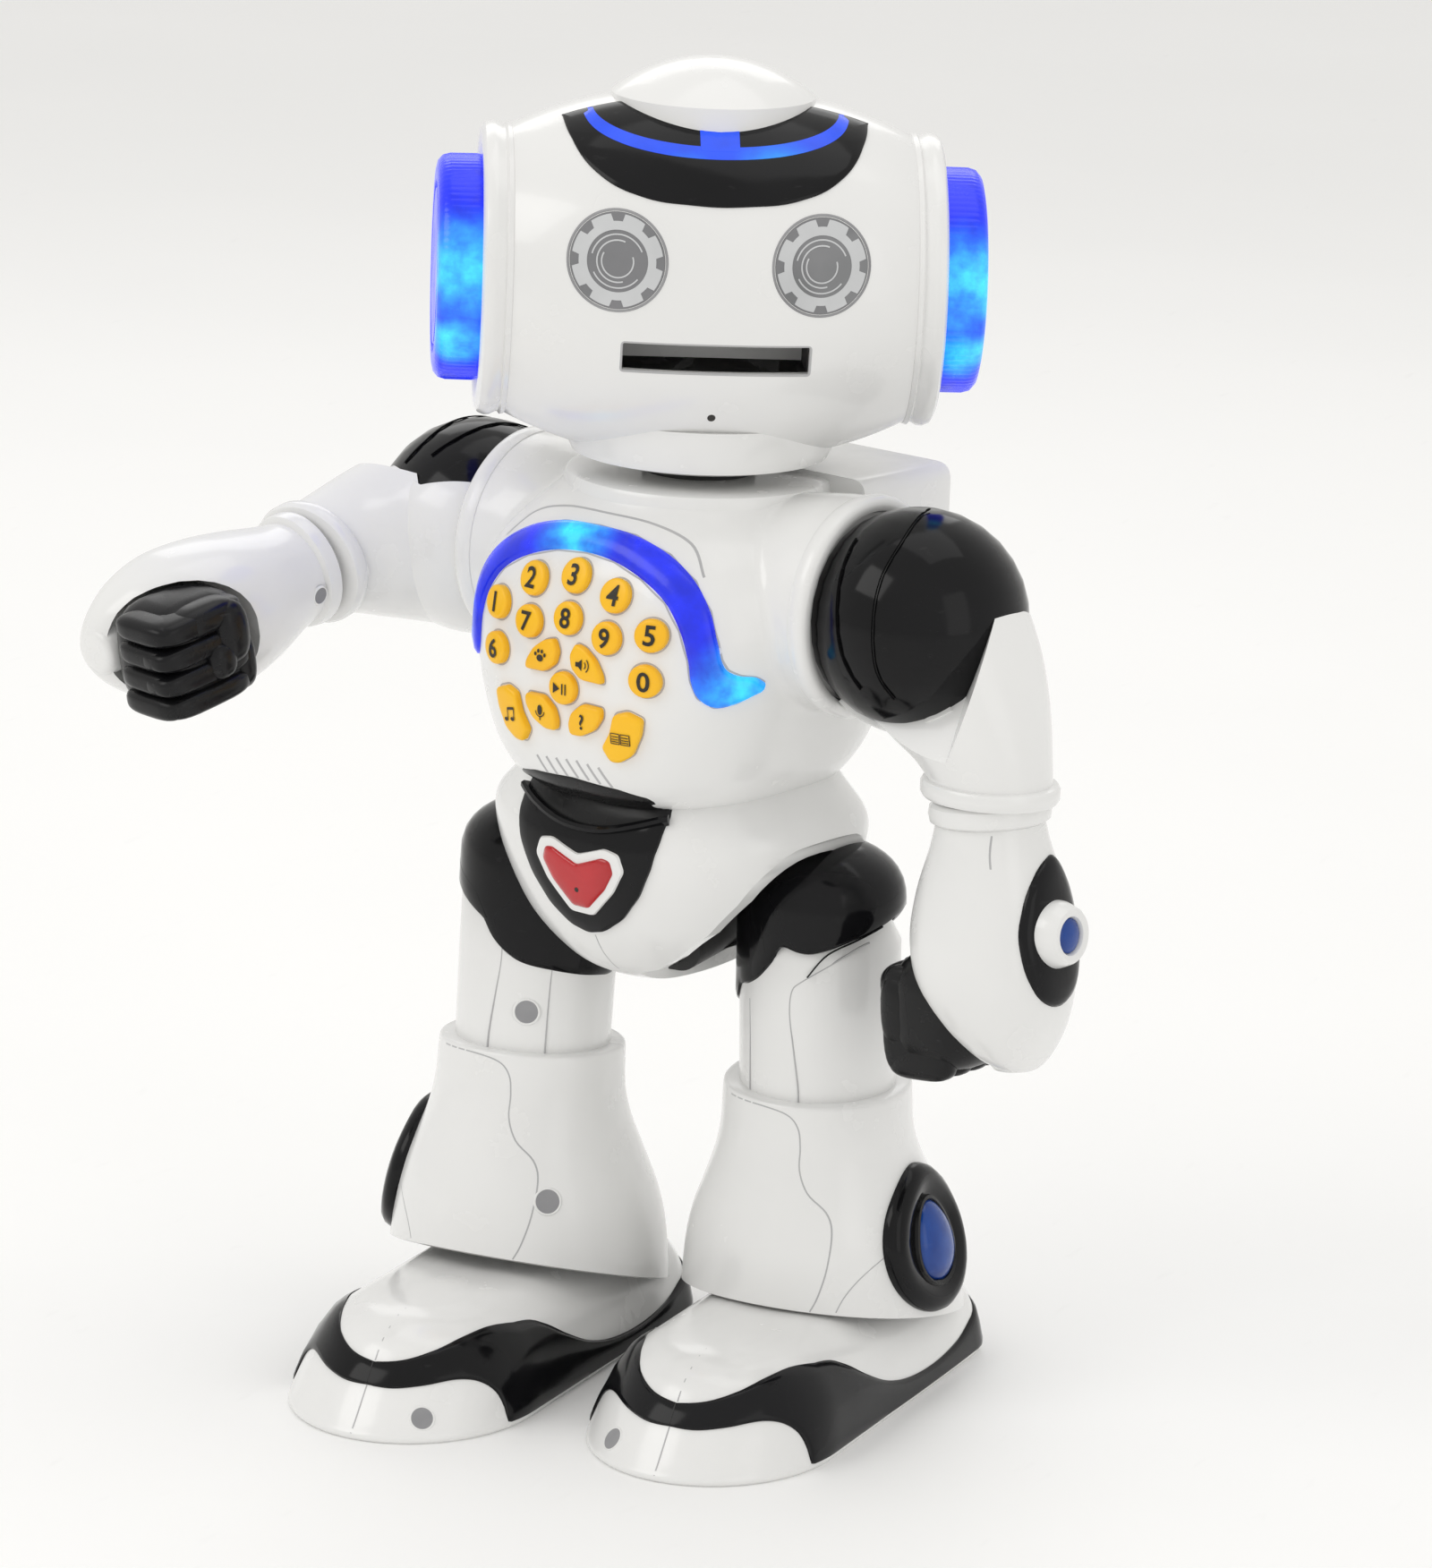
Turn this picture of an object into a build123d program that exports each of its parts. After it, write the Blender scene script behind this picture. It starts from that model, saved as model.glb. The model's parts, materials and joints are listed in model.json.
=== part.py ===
"""Walking humanoid toy robot: every moulding, key and inner part as its own solid.

Units are millimetres. The legs face -Y, +X is the robot's own left side and Z is up.
Each group (torso, head, arm, leg) is drawn in its own upright frame and placed once,
so the pose of the robot at rest is set by the few angles under "Rest pose".
"""
import os
from math import radians, sin, sqrt

from build123d import *

# ---------------------------------------------------------------- rest pose (degrees)
TORSO_TURN = -14.0          # upper body turned to the robot's right on its legs
HEAD_TURN = 28.5            # head turned to the robot's left, measured from the legs
RIGHT_ARM_RAISE = 77.0      # right arm swung forward about the shoulder axis
STRIDE = 3.3                # left leg back and right leg forward by this angle
FOREARM_TILT = 6.0          # forearms hang slightly outward

# ---------------------------------------------------------------- main heights and widths
HEAD_Z = 251.0
SHOULDER_Z = 184.0
HIP_Z = 112.0
ANKLE_Z = 26.0
SHOULDER_X = 50.0           # outer face of the shoulder rings
LEG_X = 34.5
CENTRE_X = 7.74             # moves the robot so that its bounding box is centred
CENTRE_Y = 17.07

WALL = 2.4                  # moulded shell thickness
GAP = 0.3                   # clearance round every moving piece

# ---------------------------------------------------------------- head
HEAD_R = 41.0               # radius about the ear axis at mid head
HEAD_SIDE_R = 31.2          # radius where the ear rings start
HEAD_HALF = 44.5
EAR_RING_R = 32.2
EAR_RING_OUT = 50.5
EAR_LIGHT_R = 25.0
EAR_LIGHT_OUT = 60.0
VISOR_T = 1.8
VISOR_HALF = 34.0
VISOR_BOTTOM = 21.0
EYE = (22.0, 9.0)
EYE_R = 10.6
MOUTH_W = 41.0
MOUTH_Z = (-15.2, -8.4)
LID_R = 22.4
LID_TOP = 48.0
MAGAZINE_R = 19.6
MAGAZINE_WALL = 1.4
NECK_R = 13.0

# ---------------------------------------------------------------- torso
TORSO = (                   # z, half width, half depth, corner radius, centre y
    (138.0, 33.0, 35.0, 26.0, -3.0),
    (149.0, 38.0, 39.5, 30.0, -2.0),
    (163.0, 41.5, 42.0, 33.0, -1.5),
    (178.0, 43.0, 42.5, 34.0, -1.0),
    (192.0, 41.0, 40.5, 34.0, -0.5),
    (201.0, 34.0, 33.5, 31.0, 0.0),
)
COLLAR_R = 30.0
COLLAR_TOP = 206.6
RING_R = 24.9
BACKPACK = (36.0, 47.0, 151.0, 208.0)       # half width, back face y, bottom z, top z
DOOR = (30.0, 155.0, 204.0)                 # half width, bottom z, top z
DOOR_T = 2.2
CELL_R = 7.0
CELL_LENGTH = 46.0

# ---------------------------------------------------------------- keypad (x, z from the play key)
PLAY_Z = 164.3
KEY_R = 3.65
KEY_PROUD = 1.6
ROUND_KEYS = {
    "key_1": (-21.3, 15.2), "key_2": (-11.2, 22.4), "key_3": (0.0, 24.6),
    "key_4": (11.2, 22.4), "key_5": (21.3, 15.2), "key_6": (-20.6, 5.0),
    "key_7": (-10.8, 12.8), "key_8": (0.0, 15.6), "key_9": (10.8, 12.8),
    "key_0": (20.6, 5.0), "key_play": (0.0, 0.0),
}
SHAPED_KEYS = {             # x, z, width, height, turn in degrees
    "key_animal": (-5.9, 6.6, 5.4, 7.0, -40.0),
    "key_volume": (5.9, 6.6, 5.4, 7.0, 40.0),
    "key_mic": (-6.2, -5.2, 5.4, 7.4, 33.0),
    "key_question": (6.2, -5.2, 5.4, 7.4, -33.0),
    "key_music": (-15.4, -8.6, 5.2, 11.0, 18.0),
    "key_book": (15.4, -8.6, 5.2, 11.0, -18.0),
}

# ---------------------------------------------------------------- arms (from the shoulder ring centre)
DOME_X = 12.4
DOME_R = 24.3
ARM_CUT = (0.75, -0.66)     # outward and downward parts of the dome's cut plane normal
ARM_CUT_AT = 11.0
ELBOW = (34.0, -33.0)
ELBOW_R = 13.0
AXLE_R = 8.0

# ---------------------------------------------------------------- legs
THIGH_R = 18.0
HIP_COVER_R = 20.2
CUFF = (                    # z, half width, half depth, centre y
    (70.0, 20.6, 20.6, 0.0),
    (61.0, 20.8, 20.8, 0.0),
    (47.0, 23.5, 25.5, 1.5),
    (30.0, 28.5, 31.5, 4.0),
    (6.0, 31.0, 33.6, 5.4),
)
CUFF_RIM = (19.2, -0.24)    # height of the cuff's slanted lower rim at the leg axis, and its slope to the back
FOOT_HALF = 28.0
TOE_Y = -83.5
HEEL_Y = 42.0
SOLE_TOP = 7.0
FOOT_UPPER = (              # z, half width, half length, corner radius, centre y
    (7.0, 27.0, 58.0, 26.5, -24.0),
    (12.5, 24.0, 46.0, 23.5, -32.5),
    (18.0, 18.5, 31.0, 18.0, -42.0),
    (22.3, 11.5, 16.5, 11.0, -46.5),
)
BAND_T = 2.0
WHEEL_R = 7.0
WHEEL_Y = -8.0


# ---------------------------------------------------------------- shared shapes
def head_barrel(shrink):
    """Barrel of the head about the ear axis, drawn smaller by shrink."""
    half = HEAD_HALF - shrink
    with BuildPart() as barrel:
        with BuildSketch(Plane.XY) as profile:
            with BuildLine():
                Line((half, 0), (-half, 0))
                Line((-half, 0), (-half, HEAD_SIDE_R - shrink))
                ThreePointArc((-half, HEAD_SIDE_R - shrink), (0, HEAD_R - shrink), (half, HEAD_SIDE_R - shrink))
                Line((half, HEAD_SIDE_R - shrink), (half, 0))
            make_face()
        revolve(axis=Axis.X)
    return barrel.part


def rounded_body(sections, grow=0.0, bottom=None, top=None):
    """Lofted body through rounded rectangles, grown or shrunk evenly."""
    with BuildPart() as body:
        for z, half_x, half_y, corner, centre_y in sections:
            height = z
            if z == sections[0][0] and bottom is not None:
                height = bottom
            if z == sections[-1][0] and top is not None:
                height = top
            with BuildSketch(Plane.XY.offset(height)):
                with Locations((0, centre_y)):
                    RectangleRounded(2 * (half_x + grow), 2 * (half_y + grow), corner + grow)
        loft()
    return body.part


def cuff_body(grow=0.0, bottom=None, top=None):
    """Flared lower leg, grown or shrunk evenly."""
    with BuildPart() as body:
        for z, half_x, half_y, centre_y in CUFF:
            height = z
            if z == CUFF[-1][0] and bottom is not None:
                height = bottom
            if z == CUFF[0][0] and top is not None:
                height = top
            with BuildSketch(Plane.XY.offset(height)):
                with Locations((0, centre_y)):
                    Ellipse(half_x + grow, half_y + grow)
        loft()
    return body.part


def foot_slab(inset, height):
    """Slab with the outline of the sole: round toe, square heel."""
    half = FOOT_HALF - inset
    toe_start = TOE_Y + FOOT_HALF
    with BuildPart() as slab:
        with BuildSketch(Plane.XY) as outline:
            with BuildLine():
                Line((-half, toe_start), (-half, HEEL_Y - inset))
                Line((-half, HEEL_Y - inset), (half, HEEL_Y - inset))
                Line((half, HEEL_Y - inset), (half, toe_start))
                ThreePointArc((half, toe_start), (0, TOE_Y + inset), (-half, toe_start))
            make_face()
            fillet(outline.vertices().sort_by(Axis.Y)[-2:], radius=10.0 - inset)
        extrude(amount=height)
    return slab.part


def chest_y(x, z):
    """Front surface of the chest near the keypad."""
    flat = 9.0
    side = max(0.0, abs(x) - flat)
    bulge = 33.0 - sqrt(33.0**2 - side**2)
    drop = 0.9 * (max(0.0, z - 178.0) / 10.0) ** 2 + 0.9 * (max(0.0, 165.0 - z) / 10.0) ** 2
    return -43.5 + bulge + drop


# ================================================================ HEAD (origin at the head centre)
barrel_outer = head_barrel(0.0)
barrel_visor = head_barrel(VISOR_T)
barrel_inner = head_barrel(WALL)

with BuildPart() as visor_outline:
    with BuildSketch(Plane.XZ):
        with Locations((0, VISOR_BOTTOM + 15.0)):
            RectangleRounded(2 * VISOR_HALF, 30.0, 14.0)
    extrude(amount=60.0)
    with Locations((0, 0, 45.0)):
        Cylinder(LID_R + 0.2, 40.0, mode=Mode.SUBTRACT)
    with Locations((0, 48.0, 30.0)):
        Box(120.0, 106.0, 60.0, mode=Mode.SUBTRACT)

with BuildPart() as visor:
    add(barrel_outer)
    add(barrel_visor, mode=Mode.SUBTRACT)
    add(visor_outline.part, mode=Mode.INTERSECT)

with BuildPart() as head_shell:
    add(barrel_outer)
    add(barrel_inner, mode=Mode.SUBTRACT)
    add(visor.part, mode=Mode.SUBTRACT)
    with Locations((0, 0, 40.0)):
        Cylinder(MAGAZINE_R + MAGAZINE_WALL, 30.0, mode=Mode.SUBTRACT)
    with BuildSketch(Plane.XZ):
        with Locations((0, sum(MOUTH_Z) / 2)):
            Rectangle(MOUTH_W, MOUTH_Z[1] - MOUTH_Z[0])
        with Locations((EYE[0], EYE[1]), (-EYE[0], EYE[1])):
            Circle(EYE_R)
        with Locations((0, -26.0)):
            Circle(1.0)
    extrude(amount=60.0, mode=Mode.SUBTRACT)

with BuildPart() as head_front_shell:
    add(head_shell.part)
    split(bisect_by=Plane.XZ, keep=Keep.TOP)

with BuildPart() as head_rear_shell:
    add(head_shell.part)
    split(bisect_by=Plane.XZ, keep=Keep.BOTTOM)
    with Locations((0, 0, -46.0)):
        Cylinder(NECK_R, 14.0)
    add(barrel_inner, mode=Mode.SUBTRACT)
    add(head_front_shell.part, mode=Mode.SUBTRACT)

with BuildPart() as eye_lenses:
    add(head_barrel(0.5))
    add(head_barrel(WALL), mode=Mode.SUBTRACT)
    with BuildSketch(Plane.XZ) as lens_outline:
        with Locations((EYE[0], EYE[1]), (-EYE[0], EYE[1])):
            Circle(EYE_R)
    extrude(amount=60.0, mode=Mode.INTERSECT)

with BuildPart() as ear_rings:
    with BuildSketch(Plane.YZ.offset(HEAD_HALF)):
        Circle(EAR_RING_R)
    extrude(amount=EAR_RING_OUT - HEAD_HALF)
    fillet(ear_rings.edges().filter_by(GeomType.CIRCLE).sort_by(Axis.X)[-1], radius=2.6)
    with BuildSketch(Plane.YZ.offset(EAR_RING_OUT)):
        Circle(EAR_LIGHT_R + 0.2)
    extrude(amount=-4.0, mode=Mode.SUBTRACT)
    mirror(about=Plane.YZ)

with BuildPart() as ear_lights:
    with BuildSketch(Plane.YZ.offset(EAR_RING_OUT - 4.0)):
        Circle(EAR_LIGHT_R)
    extrude(amount=EAR_LIGHT_OUT - EAR_RING_OUT + 4.0)
    fillet(ear_lights.edges().filter_by(GeomType.CIRCLE).sort_by(Axis.X)[-1], radius=3.2)
    mirror(about=Plane.YZ)

with BuildPart() as magazine_lid:
    with BuildSketch(Plane.XZ):
        with BuildLine():
            Line((0, 30.0), (LID_R, 30.0))
            Line((LID_R, 30.0), (LID_R, 40.0))
            ThreePointArc((LID_R, 40.0), (12.6, 45.7), (2.0, LID_TOP))
            Line((2.0, LID_TOP), (0, LID_TOP))
            Line((0, LID_TOP), (0, 30.0))
        make_face()
    revolve(axis=Axis.Z)
    add(head_barrel(-GAP), mode=Mode.SUBTRACT)

with BuildPart() as disc_magazine:
    with Locations((0, 0, 10.5)):
        Cylinder(MAGAZINE_R + MAGAZINE_WALL, 54.0)
    with Locations((0, -19.0, -12.5)):
        Box(MOUTH_W + 1.6, 39.0, 9.2)
    with Locations((0, 0, 12.0)):
        Cylinder(MAGAZINE_R, 55.0, mode=Mode.SUBTRACT)
    with Locations((0, -25.0, sum(MOUTH_Z) / 2)):
        Box(MOUTH_W - 1.0, 50.0, MOUTH_Z[1] - MOUTH_Z[0] - 0.4, mode=Mode.SUBTRACT)
    add(barrel_inner, mode=Mode.INTERSECT)

# ================================================================ TORSO (origin on the waist axis at floor level)
torso_outer = rounded_body(TORSO)
torso_inner = rounded_body(TORSO, grow=-WALL, bottom=TORSO[0][0] + WALL, top=TORSO[-1][0] - 1.0)

with BuildPart() as arch_outline:
    with BuildSketch(Plane.XZ) as arch_band:
        with BuildLine() as arch_line:
            crown = TangentArc((0, 195.0), (24.0, 184.0), tangent=(1, 0))
            flank = Line(crown @ 1, (31.0, 172.5))
            TangentArc(flank @ 1, (41.0, 167.5), tangent=flank % 1)
            mirror(about=Plane.YZ)
            offset(amount=3.0, side=Side.BOTH)
        make_face()
    extrude(amount=60.0)

with BuildPart() as chest_light:
    add(rounded_body(TORSO, grow=1.2))
    add(arch_outline.part, mode=Mode.INTERSECT)
    add(rounded_body(TORSO, grow=-1.4), mode=Mode.SUBTRACT)
    for key_x, key_z in ROUND_KEYS.values():
        with BuildSketch(Plane.XZ):
            with Locations((key_x, PLAY_Z + key_z)):
                Circle(KEY_R + GAP)
        extrude(amount=70.0, mode=Mode.SUBTRACT)

with BuildPart() as torso_shell:
    add(torso_outer)
    with Locations((0, 0, (190.0 + COLLAR_TOP) / 2)):
        Cylinder(COLLAR_R, COLLAR_TOP - 190.0)
    with BuildSketch(Plane.YZ.offset(-SHOULDER_X)):
        with Locations((0, SHOULDER_Z)):
            Circle(RING_R)
    extrude(amount=2 * SHOULDER_X)
    with Locations((0, BACKPACK[1] / 2, (BACKPACK[2] + BACKPACK[3]) / 2)):
        Box(2 * BACKPACK[0], BACKPACK[1], BACKPACK[3] - BACKPACK[2])
    add(torso_inner, mode=Mode.SUBTRACT)
    with BuildSketch(Plane.YZ.offset(-SHOULDER_X + WALL)):
        with Locations((0, SHOULDER_Z)):
            Circle(RING_R - WALL)
    extrude(amount=2 * (SHOULDER_X - WALL), mode=Mode.SUBTRACT)
    with Locations((0, 22.0, (BACKPACK[2] + BACKPACK[3]) / 2)):
        Box(2 * (BACKPACK[0] - WALL), 45.2, BACKPACK[3] - BACKPACK[2] - 2 * WALL, mode=Mode.SUBTRACT)
    with Locations((0, 0, 200.0)):
        Cylinder(NECK_R + GAP, 40.0, mode=Mode.SUBTRACT)
    with Locations((0, 0, 138.0)):
        Cylinder(10.0 + GAP, 12.0, mode=Mode.SUBTRACT)
    with BuildSketch(Plane.YZ.offset(-60.0)):
        with Locations((0, SHOULDER_Z)):
            Circle(AXLE_R + GAP)
    extrude(amount=120.0, mode=Mode.SUBTRACT)
    with Locations((0, BACKPACK[1], (DOOR[1] + DOOR[2]) / 2)):
        Box(2 * (DOOR[0] + GAP), 12.0, DOOR[2] - DOOR[1] + 2 * GAP, mode=Mode.SUBTRACT)
    add(chest_light.part, mode=Mode.SUBTRACT)
    with BuildSketch(Plane.XZ.offset(20.0)):
        for x, z in ROUND_KEYS.values():
            with Locations((x, PLAY_Z + z)):
                Circle(KEY_R + GAP)
        for x, z, width, height, turn in SHAPED_KEYS.values():
            with Locations(Location((x, PLAY_Z + z, 0), (0, 0, turn))):
                RectangleRounded(width + 2 * GAP, height + 2 * GAP, 1.6 + GAP)
        with GridLocations(4.4, 1.0, 6, 1):
            with Locations(Location((0, 146.0, 0), (0, 0, 14.0))):
                SlotOverall(6.5, 1.2, rotation=90.0)
    extrude(amount=40.0, mode=Mode.SUBTRACT)

with BuildPart() as torso_front_shell:
    add(torso_shell.part)
    split(bisect_by=Plane.XZ, keep=Keep.TOP)

with BuildPart() as torso_rear_shell:
    add(torso_shell.part)
    split(bisect_by=Plane.XZ, keep=Keep.BOTTOM)

with BuildPart() as battery_door:
    with Locations((0, BACKPACK[1] - DOOR_T / 2, (DOOR[1] + DOOR[2]) / 2)):
        Box(2 * DOOR[0], DOOR_T, DOOR[2] - DOOR[1])
    fillet(battery_door.edges().filter_by(Axis.Y), radius=2.0)

with BuildPart() as battery_cells:
    with GridLocations(2 * CELL_R + 0.8, 1.0, 4, 1):
        with Locations((0, 36.5, (DOOR[1] + DOOR[2]) / 2 - 1.0)):
            Cylinder(CELL_R, CELL_LENGTH)
        with Locations((0, 36.5, (DOOR[1] + DOOR[2]) / 2 + CELL_LENGTH / 2)):
            Cylinder(2.6, 2.0)

with BuildPart() as speaker:
    with BuildSketch(Plane.XZ.offset(26.0)):
        with Locations((0, 152.0)):
            Circle(11.0)
    extrude(amount=3.0)
    with BuildSketch(Plane.XZ.offset(20.0)):
        with Locations((0, 152.0)):
            Circle(6.5)
    extrude(amount=6.0)

with BuildPart() as main_board:
    with Locations((0, -32.0, 178.0)):
        Box(42.0, 1.6, 27.0)
    with Locations((10.0, -30.5, 184.0)):
        Box(10.0, 2.4, 10.0)
    with Locations((-12.0, -30.0, 176.0)):
        Box(8.0, 4.4, 12.0)

keys = {}
for key_name, (x, z) in ROUND_KEYS.items():
    surface = chest_y(x, PLAY_Z + z)
    with BuildPart() as key:
        with BuildSketch(Plane.XZ.offset(-surface - 4.4)):
            with Locations((x, PLAY_Z + z)):
                Circle(KEY_R)
        extrude(amount=4.4 + KEY_PROUD)
        fillet(key.faces().sort_by(Axis.Y)[0].edges(), radius=0.7)
    keys[key_name] = key.part
for key_name, (x, z, width, height, turn) in SHAPED_KEYS.items():
    surface = chest_y(x, PLAY_Z + z)
    with BuildPart() as key:
        with BuildSketch(Plane.XZ.offset(-surface - 4.4)):
            with Locations(Location((x, PLAY_Z + z, 0), (0, 0, turn))):
                RectangleRounded(width, height, 1.6)
        extrude(amount=4.4 + KEY_PROUD)
        fillet(key.faces().sort_by(Axis.Y)[0].edges(), radius=0.6)
    keys[key_name] = key.part

# ---------------------------------------------------------------- pelvis, rigid with the torso
PELVIS = (
    (97.0, 27.0, 34.0, 24.0, 0.0),
    (108.0, 34.0, 37.0, 28.0, 0.0),
    (120.0, 39.5, 39.0, 31.0, 0.0),
    (130.0, 42.0, 39.5, 32.0, 0.0),
    (137.8, 38.0, 37.5, 30.0, -1.0),
)
LEG_CUT = ((11.5, 97.0), (40.5, 130.0))     # slanted lower edge of the pelvis, x and z

with BuildPart() as pelvis_body:
    add(rounded_body(PELVIS))
    for side in (-1, 1):
        with BuildSketch(Plane.XZ.offset(-60.0)):
            with BuildLine():
                Polyline(
                    (side * LEG_CUT[0][0], 90.0), (side * LEG_CUT[0][0], LEG_CUT[0][1]),
                    (side * LEG_CUT[1][0], LEG_CUT[1][1]), (side * 60.0, LEG_CUT[1][1]),
                    (side * 60.0, 90.0), (side * LEG_CUT[0][0], 90.0),
                )
            make_face()
        extrude(amount=120.0, mode=Mode.SUBTRACT)

with BuildPart() as belly_outline:
    with BuildSketch(Plane.XZ) as belly_shape:
        with BuildLine():
            Polyline((-19.0, 137.0), (19.0, 137.0), (17.5, 121.0), (0.0, 107.0), (-17.5, 121.0), (-19.0, 137.0))
        make_face()
        fillet(belly_shape.vertices().filter_by_position(Axis.Y, 100.0, 130.0), radius=4.0)
    extrude(amount=60.0)

with BuildPart() as belly_panel:
    add(rounded_body(PELVIS, grow=0.8))
    add(rounded_body(PELVIS, grow=-1.4), mode=Mode.SUBTRACT)
    add(belly_outline.part, mode=Mode.INTERSECT)
    with BuildSketch(Plane.XZ.offset(20.0)):
        with Locations((0, 122.5)):
            RectangleRounded(15.0, 10.0, 3.0)
    extrude(amount=40.0, mode=Mode.SUBTRACT)

with BuildPart() as ir_window:
    add(rounded_body(PELVIS, grow=1.2))
    add(rounded_body(PELVIS, grow=-1.4), mode=Mode.SUBTRACT)
    with BuildSketch(Plane.XZ.offset(20.0)):
        with Locations((0, 122.5)):
            RectangleRounded(14.8, 9.8, 2.9)
    extrude(amount=40.0, mode=Mode.INTERSECT)

with BuildPart() as pelvis_shell:
    add(pelvis_body.part)
    add(rounded_body(PELVIS, grow=-WALL, bottom=90.0, top=PELVIS[-1][0] - WALL), mode=Mode.SUBTRACT)
    add(belly_panel.part, mode=Mode.SUBTRACT)
    add(ir_window.part, mode=Mode.SUBTRACT)
    with Locations((0, 0, 136.0)):
        Cylinder(10.0 + GAP, 12.0, mode=Mode.SUBTRACT)

# ================================================================ LEFT ARM, hanging (origin at the ring centre)
cut_at = Vector(DOME_X + ARM_CUT_AT * ARM_CUT[0], 0, ARM_CUT_AT * ARM_CUT[1])
arm_cut = Plane(origin=cut_at, x_dir=(0, 1, 0), z_dir=(ARM_CUT[0], 0, ARM_CUT[1]))

with BuildPart() as shoulder_dome:
    with Locations((DOME_X, 0, 0)):
        Sphere(DOME_R)
    with BuildSketch(Plane.YZ.offset(0.5)):
        Circle(DOME_R - 0.8)
    extrude(amount=DOME_X)
    split(bisect_by=Plane.YZ.offset(0.5), keep=Keep.TOP)
    split(bisect_by=arm_cut, keep=Keep.BOTTOM)
    with BuildSketch(Plane.YZ.offset(-10.0)):
        Circle(AXLE_R)
    extrude(amount=12.0)

with BuildPart() as upper_arm:
    with BuildSketch(arm_cut):
        Circle(20.4)
    with BuildSketch(Plane.XY.offset(ELBOW[1])):
        with Locations((ELBOW[0], 0)):
            Ellipse(14.2, 13.0)
    loft()
    with BuildSketch(Plane.XY.offset(ELBOW[1])):
        with Locations((ELBOW[0], 0)):
            Ellipse(15.6, 14.2)
    extrude(amount=-3.2)

forearm_frame = Location((ELBOW[0], 0, ELBOW[1] - 3.2), (0, -FOREARM_TILT, 0))
FOREARM = (                 # distance below the elbow, radius x, radius y, centre x
    (-5.0, 11.6, 11.6, 0.0),
    (-20.0, 15.8, 15.6, -0.6),
    (-33.0, 17.2, 17.4, -0.8),
    (-46.0, 14.8, 16.4, 0.8),
    (-56.0, 8.5, 9.0, 3.4),
)


def forearm_body(grow=0.0, top=None, bottom=None):
    """Gauntlet of the forearm, grown or shrunk evenly."""
    with BuildPart() as body:
        for z, radius_x, radius_y, centre in FOREARM:
            height = z
            if z == FOREARM[0][0] and top is not None:
                height = top
            if z == FOREARM[-1][0] and bottom is not None:
                height = bottom
            with BuildSketch(Plane.XY.offset(height)):
                with Locations((centre, 0)):
                    Ellipse(radius_x + grow, radius_y + grow)
        loft()
    return body.part


with BuildPart() as badge_outline:
    with BuildSketch(Plane.YZ):
        with Locations((0, -27.0)):
            Ellipse(9.5, 18.0)
            Circle(6.6, mode=Mode.SUBTRACT)
    extrude(amount=40.0)

with BuildPart() as forearm_badge:
    add(forearm_body(grow=1.4))
    add(forearm_body(), mode=Mode.SUBTRACT)
    add(badge_outline.part, mode=Mode.INTERSECT)

with BuildPart() as fist:
    with Locations((-12.0, -0.5, -42.0)):
        Box(21.0, 25.0, 24.0)
    fillet(fist.edges(), radius=4.0)
    with Locations((-4.0, -0.5, -33.0)):
        Cylinder(5.5, 14.0)

with BuildPart() as forearm:
    add(forearm_body())
    with BuildSketch(Plane.XY.offset(-0.5)):
        Circle(ELBOW_R)
    extrude(amount=-5.0)
    with BuildSketch(Plane.YZ.offset(8.0)):
        with Locations((0, -27.0)):
            Circle(6.5)
    extrude(amount=12.6)
    with BuildSketch(Plane.XY.offset(-50.0)):
        with Locations((4.6, 0)):
            Circle(6.0)
    extrude(amount=-9.5)
    with Locations((0, 0, -1.0)):
        Cylinder(5.0, 8.0)
    add(forearm_body(grow=-WALL, top=-8.0, bottom=-52.0), mode=Mode.SUBTRACT)
    with BuildSketch(Plane.YZ):
        with Locations((-0.5, -41.5)):
            Ellipse(14.4, 14.4)
    extrude(amount=-40.0, mode=Mode.SUBTRACT)
    add(fist.part, mode=Mode.SUBTRACT)

with BuildPart() as upper_arm_bored:
    add(upper_arm.part)
    with Locations(Location((ELBOW[0], 0, ELBOW[1] - 3.2), (0, -FOREARM_TILT, 0))):
        Cylinder(5.0 + GAP, 9.0, mode=Mode.SUBTRACT)
    with Locations(Location((ELBOW[0], 0, ELBOW[1] - 3.2), (0, -FOREARM_TILT, 0))):
        with Locations((0, 0, -9.8)):
            Box(60.0, 60.0, 20.0, mode=Mode.SUBTRACT)

# ================================================================ HIPS, between the legs (origin on the waist axis)
with BuildPart() as hip_frame:
    with Locations((0, 0, 111.0)):
        Box(24.0, 30.0, 30.0)
    fillet(hip_frame.edges().filter_by(Axis.Y), radius=5.0)
    with Locations((0, 0, 133.0)):
        Cylinder(10.0, 18.0)
    with Locations((0, 0, 130.5)):
        Cylinder(17.0, 9.0)
    with BuildSketch(Plane.YZ.offset(-LEG_X - 8.0)):
        with Locations((0, HIP_Z)):
            Circle(5.0)
    extrude(amount=2 * (LEG_X + 8.0))

# ================================================================ LEFT LEG, upright (origin under the hip axis)
with BuildPart() as thigh:
    with BuildSketch(Plane.XY.offset(57.0)):
        Circle(THIGH_R - 0.4)
    with BuildSketch(Plane.XY.offset(100.0)):
        Circle(THIGH_R)
    loft()
    with Locations((0, 0, 105.0)):
        Cylinder(THIGH_R - 3.0, 12.0)
    with Locations((0, 0, 113.0)):
        Cylinder(THIGH_R - 7.0, 4.0)
    with Locations((0, 0, 74.0)):
        Cylinder(THIGH_R - 2.8, 46.0, mode=Mode.SUBTRACT)
    with BuildSketch(Plane.YZ.offset(-40.0)):
        with Locations((0, HIP_Z)):
            Circle(5.0 + GAP)
    extrude(amount=49.0, mode=Mode.SUBTRACT)

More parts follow.
